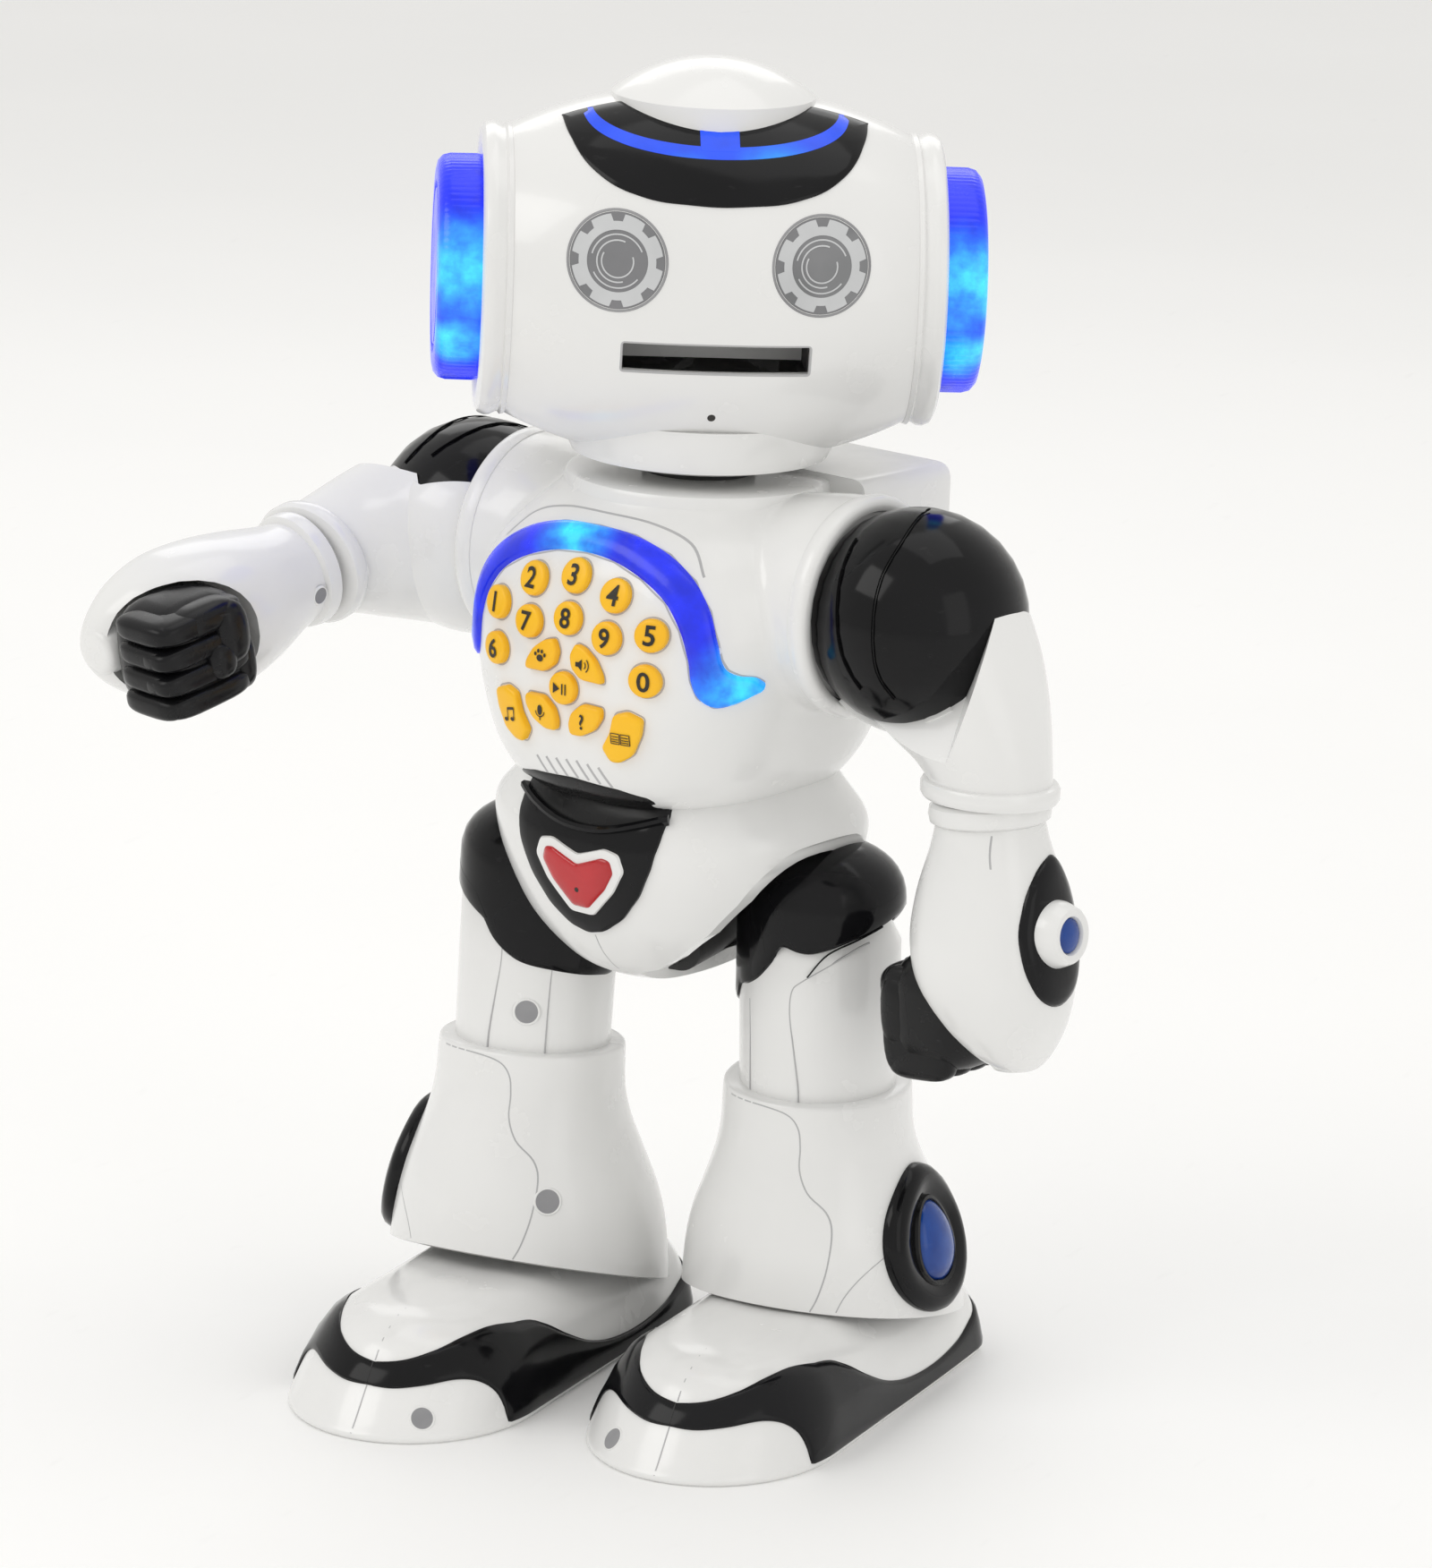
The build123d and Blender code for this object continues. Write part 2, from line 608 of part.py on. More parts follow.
with BuildPart() as hip_cover:
    with Locations((0, 0, 101.5)):
        Sphere(HIP_COVER_R)
    with Locations((0, 0, 80.0)):
        Box(60.0, 60.0, 28.0, mode=Mode.SUBTRACT)
    with Locations((0, 0, 78.5)):
        Cylinder(THIGH_R, 43.0, mode=Mode.SUBTRACT)
    with Locations((0, 0, 97.0)):
        Cylinder(THIGH_R - 3.0, 28.0, mode=Mode.SUBTRACT)
    with Locations((0, 0, 113.0)):
        Cylinder(THIGH_R - 7.0, 4.0, mode=Mode.SUBTRACT)
    with BuildSketch(Plane.YZ.offset(-40.0)):
        with Locations((0, HIP_Z)):
            Circle(5.0 + GAP)
    extrude(amount=49.0, mode=Mode.SUBTRACT)

cuff_outer = cuff_body()
cuff_rim = Plane(origin=(0, 0, CUFF_RIM[0]), x_dir=(1, 0, 0), z_dir=(0, -CUFF_RIM[1], 1))
with BuildPart() as shin_badge_outline:
    with BuildSketch(Plane.YZ):
        with Locations((-1.5, 41.0)):
            Ellipse(11.5, 16.5)
    extrude(amount=50.0)

with BuildPart() as shin_badge:
    add(cuff_body(grow=1.6))
    add(cuff_body(grow=-1.0), mode=Mode.SUBTRACT)
    add(shin_badge_outline.part, mode=Mode.INTERSECT)

with BuildPart() as ankle_pin:
    with BuildSketch(Plane.YZ.offset(-32.0)):
        with Locations((0, ANKLE_Z)):
            Circle(3.0)
    extrude(amount=64.0)
    add(cuff_outer, mode=Mode.INTERSECT)

with BuildPart() as shin:
    add(cuff_outer)
    add(cuff_body(grow=-WALL, bottom=0.0, top=55.0), mode=Mode.SUBTRACT)
    with Locations((0, 0, 63.5)):
        Cylinder(THIGH_R, 20.0, mode=Mode.SUBTRACT)
    add(ankle_pin.part)
    split(bisect_by=cuff_rim, keep=Keep.TOP)
    add(shin_badge.part, mode=Mode.SUBTRACT)

with BuildPart() as foot_band:
    add(foot_slab(0.0, SOLE_TOP))
    add(foot_slab(BAND_T, SOLE_TOP), mode=Mode.SUBTRACT)
    with Locations((0, 0, 2.0)):
        Box(120.0, 200.0, 4.0, mode=Mode.SUBTRACT)

with BuildPart() as foot_shell:
    add(foot_slab(0.0, SOLE_TOP))
    add(rounded_body(FOOT_UPPER))
    with BuildSketch(Plane.XY.offset(14.0)):
        RectangleRounded(28.0, 34.0, 8.0)
    extrude(amount=12.0)
    with BuildSketch(Plane.YZ.offset(-13.0)):
        with Locations((0, ANKLE_Z)):
            Circle(7.0)
    extrude(amount=26.0)
    with BuildSketch(Plane.YZ.offset(-40.0)):
        with Locations((0, ANKLE_Z)):
            Circle(3.0 + GAP)
    extrude(amount=80.0, mode=Mode.SUBTRACT)
    add(foot_band.part, mode=Mode.SUBTRACT)
    with Locations((12.0, WHEEL_Y, 5.0), (-12.0, WHEEL_Y, 5.0)):
        Box(9.0, 17.0, 22.0, mode=Mode.SUBTRACT)
    with BuildSketch(Plane.YZ.offset(-18.0)):
        with Locations((WHEEL_Y, WHEEL_R + GAP)):
            Circle(1.5 + 0.1)
    extrude(amount=36.0, mode=Mode.SUBTRACT)

with BuildPart() as drive_wheels:
    for offset_x in (-12.0, 12.0):
        with BuildSketch(Plane.YZ.offset(offset_x - 3.5)):
            with Locations((WHEEL_Y, WHEEL_R + GAP)):
                Circle(WHEEL_R)
        extrude(amount=7.0)
    with BuildSketch(Plane.YZ.offset(-17.5)):
        with Locations((WHEEL_Y, WHEEL_R + GAP)):
            Circle(1.5)
    extrude(amount=35.0)

# ================================================================ placing and writing
robot = Location((CENTRE_X, CENTRE_Y, 0))
torso_place = robot * Location((0, 0, 0), (0, 0, TORSO_TURN))
head_place = robot * Location((0, 0, HEAD_Z), (0, 0, HEAD_TURN))


def write(part, name, place):
    """Put a finished part in its place on the robot and save it."""
    placed = part.moved(place)
    placed.label = name
    export_step(placed, f"parts/{name}.step")


os.makedirs("parts", exist_ok=True)

for name, part in (
    ("head_front_shell", head_front_shell.part), ("head_rear_shell", head_rear_shell.part),
    ("visor", visor.part), ("eye_lenses", eye_lenses.part), ("ear_rings", ear_rings.part),
    ("ear_lights", ear_lights.part), ("magazine_lid", magazine_lid.part),
    ("disc_magazine", disc_magazine.part),
):
    write(part, name, head_place)

for name, part in (
    ("torso_front_shell", torso_front_shell.part), ("torso_rear_shell", torso_rear_shell.part),
    ("battery_door", battery_door.part), ("battery_cells", battery_cells.part),
    ("chest_light", chest_light.part), ("speaker", speaker.part), ("main_board", main_board.part),
    ("pelvis_shell", pelvis_shell.part), ("belly_panel", belly_panel.part), ("ir_window", ir_window.part),
    *keys.items(),
):
    write(part, name, torso_place)

write(hip_frame.part, "hip_frame", robot)

ARM_PARTS = (("shoulder_dome", shoulder_dome.part, Location()), ("upper_arm", upper_arm_bored.part, Location()))
FOREARM_PARTS = (("forearm", forearm.part), ("forearm_badge", forearm_badge.part), ("fist", fist.part))
for side, sign, raise_angle in (("left", 1, 0.0), ("right", -1, -RIGHT_ARM_RAISE)):
    place = torso_place * Location((sign * SHOULDER_X, 0, SHOULDER_Z), (raise_angle, 0, 0))
    for name, part, own in ARM_PARTS + tuple((n, p, forearm_frame) for n, p in FOREARM_PARTS):
        piece = part.moved(own)
        if sign < 0:
            piece = mirror(piece, about=Plane.YZ)
        write(piece, f"{side}_{name}", place)

for side, sign in (("left", 1), ("right", -1)):
    swing = Location((sign * LEG_X, 0, HIP_Z), (sign * STRIDE, 0, 0)) * Location((0, 0, -HIP_Z))
    step = sign * (HIP_Z - ANKLE_Z) * sin(radians(STRIDE))
    for name, part in (
        ("thigh", thigh.part), ("hip_cover", hip_cover.part), ("shin", shin.part), ("shin_badge", shin_badge.part),
    ):
        piece = mirror(part, about=Plane.YZ) if sign < 0 else part
        write(piece, f"{side}_{name}", robot * swing)
    for name, part in (
        ("foot_shell", foot_shell.part), ("foot_band", foot_band.part), ("drive_wheels", drive_wheels.part),
    ):
        write(part, f"{side}_{name}", robot * Location((sign * LEG_X, step, 0)))
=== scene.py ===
"""Looks of the walking toy robot: meshes, materials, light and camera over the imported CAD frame."""
import json
from math import asin, atan2, cos, hypot, pi, radians, sin

import bmesh
import bpy
from mathutils import Matrix, Vector
from mathutils.bvhtree import BVHTree


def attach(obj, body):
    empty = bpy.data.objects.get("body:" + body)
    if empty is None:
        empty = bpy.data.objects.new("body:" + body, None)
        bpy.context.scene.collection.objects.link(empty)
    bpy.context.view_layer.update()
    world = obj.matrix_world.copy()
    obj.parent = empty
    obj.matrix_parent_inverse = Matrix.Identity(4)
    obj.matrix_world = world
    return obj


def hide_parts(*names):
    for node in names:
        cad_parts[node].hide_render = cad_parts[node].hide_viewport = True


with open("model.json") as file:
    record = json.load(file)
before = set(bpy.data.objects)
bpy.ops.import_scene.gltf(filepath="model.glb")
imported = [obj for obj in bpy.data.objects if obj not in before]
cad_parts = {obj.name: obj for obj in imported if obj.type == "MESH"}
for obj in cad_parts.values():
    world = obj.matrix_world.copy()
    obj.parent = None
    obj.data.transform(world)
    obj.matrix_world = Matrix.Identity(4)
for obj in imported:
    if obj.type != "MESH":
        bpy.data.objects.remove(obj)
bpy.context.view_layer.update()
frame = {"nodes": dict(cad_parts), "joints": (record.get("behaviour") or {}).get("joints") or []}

MM = 0.001
JOINTS = {joint["name"]: joint for joint in frame["joints"]}
SIDES = ("left", "right")
SIGNS = (("left", 1), ("right", -1))      # the robot's left is +x


# ================================================================ frames of the moving groups
def joint_at(name):
    return Vector(JOINTS[name]["pos_m"])


def joint_axis(name):
    return Vector(JOINTS[name]["axis"])


def placed(at, *turns):
    """Matrix from a group's millimetres to the row frame: turned by (angle, axis) pairs, then moved."""
    matrix = Matrix.Translation(at)
    for angle, axis in turns:
        matrix = matrix @ Matrix.Rotation(angle, 4, axis)
    return matrix @ Matrix.Scale(MM, 4)


AXIS = joint_at("waist_turn")
SHOULDER_AXIS = joint_axis("left_shoulder")
LID_AXIS = joint_axis("lid_hinge")
TORSO_TURN = atan2(SHOULDER_AXIS.y, SHOULDER_AXIS.x)
HEAD_TURN = atan2(-LID_AXIS.y, -LID_AXIS.x)
HEAD_Z = 0.251                              # height of the line through both ears
TORSO = placed(Vector((AXIS.x, AXIS.y, 0)), (TORSO_TURN, "Z"))
HEAD = placed(Vector((AXIS.x, AXIS.y, HEAD_Z)), (HEAD_TURN, "Z"))


# ================================================================ camera, light and floor
VIEW_AZIMUTH = radians(24.0)
VIEW_ELEVATION = radians(14.5)
VIEW_ROLL = radians(2.4)
VIEW_DISTANCE = 1.6
VIEW_TARGET = Vector((AXIS.x, AXIS.y, 0.155))
VIEW_OFFSET = (-0.0060, 0.0196)             # how far the target sits from the picture's centre, right and up
LENS = 164.4
SENSOR = 36.0


def make_camera():
    """Long lens a little right of the front and above, rolled slightly."""
    camera = bpy.data.objects.new("camera", bpy.data.cameras.new("camera"))
    bpy.context.scene.collection.objects.link(camera)
    bpy.context.scene.camera = camera
    camera.data.sensor_fit = "AUTO"
    camera.data.sensor_width = SENSOR
    camera.data.lens = LENS
    camera.data.clip_end = 20.0
    level = cos(VIEW_ELEVATION)
    back = Vector((sin(VIEW_AZIMUTH) * level, -cos(VIEW_AZIMUTH) * level, sin(VIEW_ELEVATION)))
    side = Vector((cos(VIEW_AZIMUTH), sin(VIEW_AZIMUTH), 0))
    rise = back.cross(side)
    right = side * cos(VIEW_ROLL) + rise * sin(VIEW_ROLL)
    up = rise * cos(VIEW_ROLL) - side * sin(VIEW_ROLL)
    at = VIEW_TARGET + back * VIEW_DISTANCE - right * VIEW_OFFSET[0] - up * VIEW_OFFSET[1]
    camera.matrix_world = Matrix.Translation(at) @ Matrix((right, up, back)).transposed().to_4x4()


def area_light(name, at, aim, size, power, tint=(1, 1, 1)):
    """Soft rectangular light aimed at a point."""
    data = bpy.data.lights.new(name, "AREA")
    data.shape = "RECTANGLE"
    data.size, data.size_y = size
    data.energy = power
    data.color = tint
    light = bpy.data.objects.new(name, data)
    bpy.context.scene.collection.objects.link(light)
    light.location = at
    light.rotation_euler = (Vector(aim) - Vector(at)).to_track_quat("-Z", "Y").to_euler()
    return light


def make_stage():
    """Pale floor that sweeps up into a far backdrop, four soft lights and a bright room."""
    front, depth, radius, half_width, top = -7.0, 5.0, 1.0, 7.0, 2.6
    line = [(front, 0.0), (depth, 0.0)]
    line += [(depth + radius * sin(i * pi / 32), radius - radius * cos(i * pi / 32)) for i in range(1, 17)]
    line.append((depth + radius, top))
    turn = Matrix.Rotation(VIEW_AZIMUTH, 4, "Z")
    verts = [turn @ Vector((x, y, z)) for y, z in line for x in (-half_width, half_width)]
    faces = [(2 * i, 2 * i + 1, 2 * i + 3, 2 * i + 2) for i in range(len(line) - 1)]
    mesh = bpy.data.meshes.new("floor")
    mesh.from_pydata(verts, [], faces)
    mesh.shade_smooth()
    floor = bpy.data.objects.new("floor", mesh)
    bpy.context.scene.collection.objects.link(floor)
    mesh.materials.append(plastic("floor_paper", (0.985, 0.985, 0.98), (0.975, 0.975, 0.97), 0.6, 0.05, 0.05,
                                  6.0))
    lights = [
        area_light("key_light", (-0.75, -0.95, 1.15), (0, 0, 0.17), (0.9, 0.7), 4.0, (1.0, 0.99, 0.97)),
        area_light("fill_light", (1.25, -0.55, 0.55), (0, 0, 0.16), (0.6, 1.0), 1.0, (1.0, 0.99, 0.975)),
        area_light("top_light", (0.1, 0.25, 1.5), (0, 0, 0.15), (1.1, 0.9), 2.2),
        area_light("back_light", (-0.5, 1.0, 0.9), (0, 0, 0.2), (0.9, 0.5), 1.4),
    ]
    world = bpy.data.worlds.new("room")
    bpy.context.scene.world = world
    world.use_nodes = True
    background = next(node for node in world.node_tree.nodes if node.type == "BACKGROUND")
    background.inputs["Color"].default_value = (1.0, 0.99, 0.97, 1)
    background.inputs["Strength"].default_value = 0.8
    bpy.context.scene.view_settings.view_transform = "Standard"


# ================================================================ materials
class Nodes:
    """A material's node tree with short ways to add and join nodes."""

    def __init__(self, name):
        self.material = bpy.data.materials.new(name)
        self.material.use_nodes = True
        self.tree = self.material.node_tree
        self.tree.nodes.clear()
        self.output = self.add("ShaderNodeOutputMaterial")
        self.shader = self.add("ShaderNodeBsdfPrincipled")
        self.join(self.shader.outputs[0], self.output.inputs[0])
        self.place = self.add("ShaderNodeTexCoord").outputs["Object"]

    def add(self, kind, **settings):
        node = self.tree.nodes.new(kind)
        for key, value in settings.items():
            setattr(node, key, value)
        return node

    def join(self, start, end):
        self.tree.links.new(start, end)

    def noise(self, scale, detail=3.0, stretch=None):
        node = self.add("ShaderNodeTexNoise")
        node.inputs["Scale"].default_value = scale
        node.inputs["Detail"].default_value = detail
        place = self.place
        if stretch:
            mapping = self.add("ShaderNodeMapping")
            mapping.inputs["Scale"].default_value = stretch
            self.join(place, mapping.inputs["Vector"])
            place = mapping.outputs["Vector"]
        self.join(place, node.inputs["Vector"])
        return node.outputs["Fac"]

    def remap(self, value, low, high, to_low, to_high, smooth=False):
        node = self.add("ShaderNodeMapRange", interpolation_type="SMOOTHSTEP" if smooth else "LINEAR")
        for key, number in (("From Min", low), ("From Max", high), ("To Min", to_low), ("To Max", to_high)):
            node.inputs[key].default_value = number
        self.join(value, node.inputs["Value"])
        return node.outputs["Result"]

    def math(self, how, first, second):
        node = self.add("ShaderNodeMath", operation=how)
        for socket, value in zip(node.inputs, (first, second)):
            if isinstance(value, (int, float)):
                socket.default_value = value
            else:
                self.join(value, socket)
        return node.outputs[0]

    def mix(self, factor, first, second):
        node = self.add("ShaderNodeMix", data_type="RGBA")
        sockets = [socket for socket in node.inputs if socket.type == "RGBA"]
        for socket, colour in zip(sockets, (first, second)):
            if isinstance(colour, tuple):
                socket.default_value = (*colour, 1)
            else:
                self.join(colour, socket)
        self.join(factor, node.inputs[0])
        return next(socket for socket in node.outputs if socket.type == "RGBA")

    def bump(self, height, strength, distance):
        node = self.add("ShaderNodeBump")
        node.inputs["Strength"].default_value = strength
        node.inputs["Distance"].default_value = distance
        self.join(height, node.inputs["Height"])
        self.join(node.outputs["Normal"], self.shader.inputs["Normal"])

    def near(self, point, radius):
        """1 at a point of the row frame, falling smoothly to 0 at the radius."""
        away = self.add("ShaderNodeVectorMath", operation="DISTANCE")
        away.inputs[1].default_value = point
        self.join(self.place, away.inputs[0])
        return self.remap(away.outputs["Value"], 0.0, radius, 1.0, 0.0, smooth=True)


def plastic(name, colour, shade, rough, spread, bump, scale, coat=0.0, wear=0.25, specular=0.5):
    """Moulded plastic: a slow shift of colour, uneven gloss, faint scuffs and a fine ripple."""
    nodes = Nodes(name)
    shader = nodes.shader
    slow = nodes.noise(scale, 4.0)
    tone = nodes.mix(nodes.remap(slow, 0.35, 0.65, 0.0, 1.0), colour, shade)
    scuffs = nodes.remap(nodes.noise(190.0, 6.0, (1.0, 0.25, 2.6)), 0.66, 0.78, 0.0, wear)
    worn = tuple(0.75 * part + 0.25 * (0.5 if sum(colour) > 1.5 else 0.16) for part in colour)
    nodes.join(nodes.mix(scuffs, tone, worn), shader.inputs["Base Color"])
    gloss = nodes.remap(nodes.noise(scale * 4.0, 5.0), 0.3, 0.7, rough - spread, rough + spread)
    nodes.join(nodes.math("ADD", gloss, nodes.math("MULTIPLY", scuffs, 0.25)), shader.inputs["Roughness"])
    shader.inputs["Coat Weight"].default_value = coat
    shader.inputs["Coat Roughness"].default_value = 0.06
    shader.inputs["Specular IOR Level"].default_value = specular
    slow_ripple, fine_ripple = nodes.noise(75.0, 2.0), nodes.noise(1400.0, 2.0)
    ripple = nodes.math("ADD", slow_ripple, nodes.math("MULTIPLY", fine_ripple, 0.05))
    nodes.bump(ripple, bump, 0.0006)
    return nodes.material


def glow(name, dark, bright, spots, rest, peak, colour, grain=0.35):
    """Translucent blue plastic lit from behind, with a bright patch at each lamp."""
    nodes = Nodes(name)
    shader = nodes.shader
    light = 0.0
    for point, radius in spots:
        light = nodes.math("MAXIMUM", light, nodes.near(point, radius))
    cloud = nodes.remap(nodes.noise(160.0, 5.0), 0.3, 0.7, 1.0 - grain, 1.0 + grain)
    lit = nodes.mix(nodes.math("MULTIPLY", light, cloud), dark, bright)
    nodes.join(lit, shader.inputs["Emission Color"])
    power = nodes.remap(light, 0.0, 1.0, rest, peak)
    nodes.join(nodes.math("MULTIPLY", power, cloud), shader.inputs["Emission Strength"])
    nodes.join(nodes.mix(cloud, colour, tuple(0.7 * part for part in colour)), shader.inputs["Base Color"])
    nodes.join(nodes.remap(cloud, 0.6, 1.4, 0.16, 0.3), shader.inputs["Roughness"])
    nodes.bump(nodes.noise(420.0, 4.0), 0.12, 0.0004)
    return nodes.material


def world_point(matrix, *point):
    """A group's point in the row frame."""
    return tuple(matrix @ Vector(point))


WHITE = plastic("white_abs", (0.85, 0.85, 0.84), (0.81, 0.81, 0.80), 0.24, 0.05, 0.10, 18.0, coat=0.35,
                wear=0.10)
BLACK = plastic("piano_black", (0.004, 0.004, 0.0045), (0.007, 0.007, 0.008), 0.13, 0.04, 0.09, 22.0,
                wear=0.3, specular=0.22)
SATIN_BLACK = plastic("satin_black", (0.006, 0.006, 0.007), (0.012, 0.012, 0.012), 0.26, 0.06, 0.14, 26.0,
                      wear=0.4, specular=0.25)
INNER = plastic("inner_black", (0.02, 0.02, 0.02), (0.03, 0.03, 0.03), 0.6, 0.1, 0.2, 30.0)
YELLOW = plastic("yellow_abs", (1.0, 0.56, 0.006), (0.96, 0.50, 0.005), 0.36, 0.06, 0.16, 40.0, wear=0.1)
# Black ink for print; the same black is also painted shade in the mic hole.
INK_AND_HOLE_SHADE = plastic("ink_and_painted_hole_shade", (0.012, 0.01, 0.008), (0.03, 0.022, 0.012), 0.5, 0.08, 0.05, 60.0)
SEAM = plastic("seam_shadow", (0.50, 0.50, 0.50), (0.44, 0.44, 0.45), 0.6, 0.1, 0.05, 60.0)
# Grey of painted shade, for the dark middle of each screw recess and the ring round each eye disc.
RECESS_SHADE = plastic("painted_recess_shade", (0.33, 0.33, 0.34), (0.25, 0.25, 0.26), 0.55, 0.1, 0.1, 60.0)
RED = plastic("red_window", (0.55, 0.006, 0.012), (0.42, 0.004, 0.008), 0.16, 0.04, 0.12, 60.0, coat=0.4)
GEM = plastic("blue_gem", (0.004, 0.06, 0.32), (0.002, 0.03, 0.2), 0.14, 0.03, 0.1, 90.0, coat=0.0)
RUBBER = plastic("wheel_rubber", (0.02, 0.02, 0.02), (0.03, 0.03, 0.03), 0.8, 0.1, 0.3, 80.0)
EYE_GREY = plastic("eye_grey", (0.20, 0.20, 0.21), (0.16, 0.165, 0.17), 0.16, 0.05, 0.05, 60.0, coat=0.6)
PRINT = plastic("eye_print", (0.60, 0.61, 0.62), (0.54, 0.55, 0.56), 0.2, 0.05, 0.05, 60.0, coat=0.6)
CELL = plastic("cell_sleeve", (0.12, 0.13, 0.15), (0.2, 0.2, 0.22), 0.35, 0.06, 0.1, 40.0)
BOARD = plastic("solder_mask", (0.01, 0.13, 0.04), (0.01, 0.1, 0.03), 0.4, 0.06, 0.1, 80.0)
EAR = {side: glow("ear_glow_" + side, (0.004, 0.02, 0.95), (0.05, 0.62, 1.0),
                  [(world_point(HEAD, sign * 55.0, -22.0, 3.0), 0.016),
                   (world_point(HEAD, sign * 55.0, -20.0, -12.0), 0.010)],
                  0.7, 1.15, (0.006, 0.02, 0.5)) for side, sign in SIGNS}
CHEST = glow("chest_glow", (0.006, 0.02, 0.72), (0.03, 0.62, 1.0),
             [(world_point(TORSO, -37.5, -30.0, 174.0), 0.011),
              (world_point(TORSO, -4.0, -37.0, 196.5), 0.013),
              (world_point(TORSO, 37.5, -29.0, 168.5), 0.015)], 0.8, 1.1, (0.006, 0.015, 0.4))
SMILE = glow("visor_glow", (0.0, 0.08, 0.95), (0.02, 0.72, 1.0),
             [(world_point(HEAD, 14.0, -36.0, 31.0), 0.015), (world_point(HEAD, -8.0, -36.0, 31.0), 0.010)],
             0.75, 1.1, (0.0, 0.02, 0.3), grain=0.15)

CAD_FINISH = {
    "visor": BLACK, "eye_lenses": EYE_GREY, "ear_lights": EAR["left"], "disc_magazine": INNER,
    "chest_light": CHEST, "battery_cells": CELL, "speaker": INNER, "main_board": BOARD, "belly_panel": BLACK,
    "ir_window": RED, "hip_frame": INNER,
}
for side in SIDES:
    for name in ("shoulder_dome", "forearm_badge", "hip_cover", "shin_badge", "foot_band"):
        CAD_FINISH[f"{side}_{name}"] = BLACK
    CAD_FINISH[f"{side}_fist"] = SATIN_BLACK
    CAD_FINISH[f"{side}_drive_wheels"] = RUBBER
NODES = frame["nodes"]
for name, node in NODES.items():
    material = YELLOW if name.startswith("key_") else CAD_FINISH.get(name, WHITE)
    node.data.materials.clear()
    node.data.materials.append(material)


# ================================================================ mesh tools (in a group's own millimetres)
def loop(count, radius_x, radius_y, centre=(0.0, 0.0), power=2.0, z=0.0):
    """Closed ring of points on a superellipse."""
    points = []
    for i in range(count):
        angle = 2 * pi * i / count
        c, s = cos(angle), sin(angle)
        x = radius_x * abs(c) ** (2 / power) * (1 if c >= 0 else -1)
        y = radius_y * abs(s) ** (2 / power) * (1 if s >= 0 else -1)
        points.append(Vector((centre[0] + x, centre[1] + y, z)))
    return points


def spline(stops, steps):
    """Rows of values drawn smoothly through the stops (Catmull-Rom)."""
    rows = []
    for i in range(len(stops) - 1):
        p0, p1, p2, p3 = stops[max(i - 1, 0)], stops[i], stops[i + 1], stops[min(i + 2, len(stops) - 1)]
        for k in range(steps):
            t = k / steps
            rows.append([0.5 * (2 * b + (c - a) * t + (2 * a - 5 * b + 4 * c - d) * t * t
                                + (3 * b - a - 3 * c + d) * t ** 3) for a, b, c, d in zip(p0, p1, p2, p3)])
    rows.append(list(stops[-1]))
    return rows


class Shape:
    """Points and faces gathered for one mesh."""

    def __init__(self):
        self.points, self.faces, self.marks = [], [], []

    def rows(self, rows, wrap=True, mark=0, cap_start=False, cap_end=False):
        """Skin through rows of points; mark is the number of its material."""
        start, width = len(self.points), len(rows[0])
        for row in rows:
            self.points.extend(Vector(point) for point in row)
        for r in range(len(rows) - 1):
            for c in range(width if wrap else width - 1):
                a, b = start + r * width + c, start + r * width + (c + 1) % width
                self.faces.append((a, b, b + width, a + width))
                self.marks.append(mark)
        for wanted, first in ((cap_start, start), (cap_end, start + (len(rows) - 1) * width)):
            if wanted:
                middle = sum((self.points[first + i] for i in range(width)), Vector()) / width
                self.points.append(middle)
                for i in range(width):
                    edge = (first + i, first + (i + 1) % width)
                    self.faces.append((*(edge if first != start else edge[::-1]), len(self.points) - 1))
                    self.marks.append(mark)
        return self

    def lathe(self, profile, place=None, count=72, mark=0, caps=(False, False)):
        """Surface of revolution about Z through (radius, z) points, then placed by a matrix."""
        place = place or Matrix()
        rows = [[place @ Vector((r * cos(2 * pi * i / count), r * sin(2 * pi * i / count), z))
                 for i in range(count)]
                for r, z in profile]
        return self.rows(rows, True, mark, *caps)

    def ball(self, centre, radii, power=2.0, count=32):
        """Superellipsoid."""
        rows = []
        for j in range(1, 16):
            tilt = -pi / 2 + pi * j / 16
            c, s = abs(cos(tilt)) ** (2 / power), abs(sin(tilt)) ** (2 / power) * (1 if tilt > 0 else -1)
            height = centre[2] + radii[2] * s
            rows.append(loop(count, radii[0] * c, radii[1] * c, (centre[0], centre[1]), power, height))
        return self.rows(rows, True, 0, True, True)

    def join(self, other):
        start = len(self.points)
        self.points += other.points
        self.faces += [tuple(start + i for i in face) for face in other.faces]
        self.marks += other.marks
        return self

    def mesh(self, name, matrix=None):
        """Blender mesh; a matrix takes it from a group's millimetres to the row frame's metres."""
        mesh = bpy.data.meshes.new(name)
        points = [matrix @ point for point in self.points] if matrix else self.points
        mesh.from_pydata(points, [], self.faces)
        mesh.polygons.foreach_set("material_index", self.marks)
        tidy = bmesh.new()
        tidy.from_mesh(mesh)
        bmesh.ops.remove_doubles(tidy, verts=tidy.verts, dist=1e-7 if matrix else 1e-4)
        bmesh.ops.recalc_face_normals(tidy, faces=tidy.faces)
        tidy.to_mesh(mesh)
        tidy.free()
        return mesh


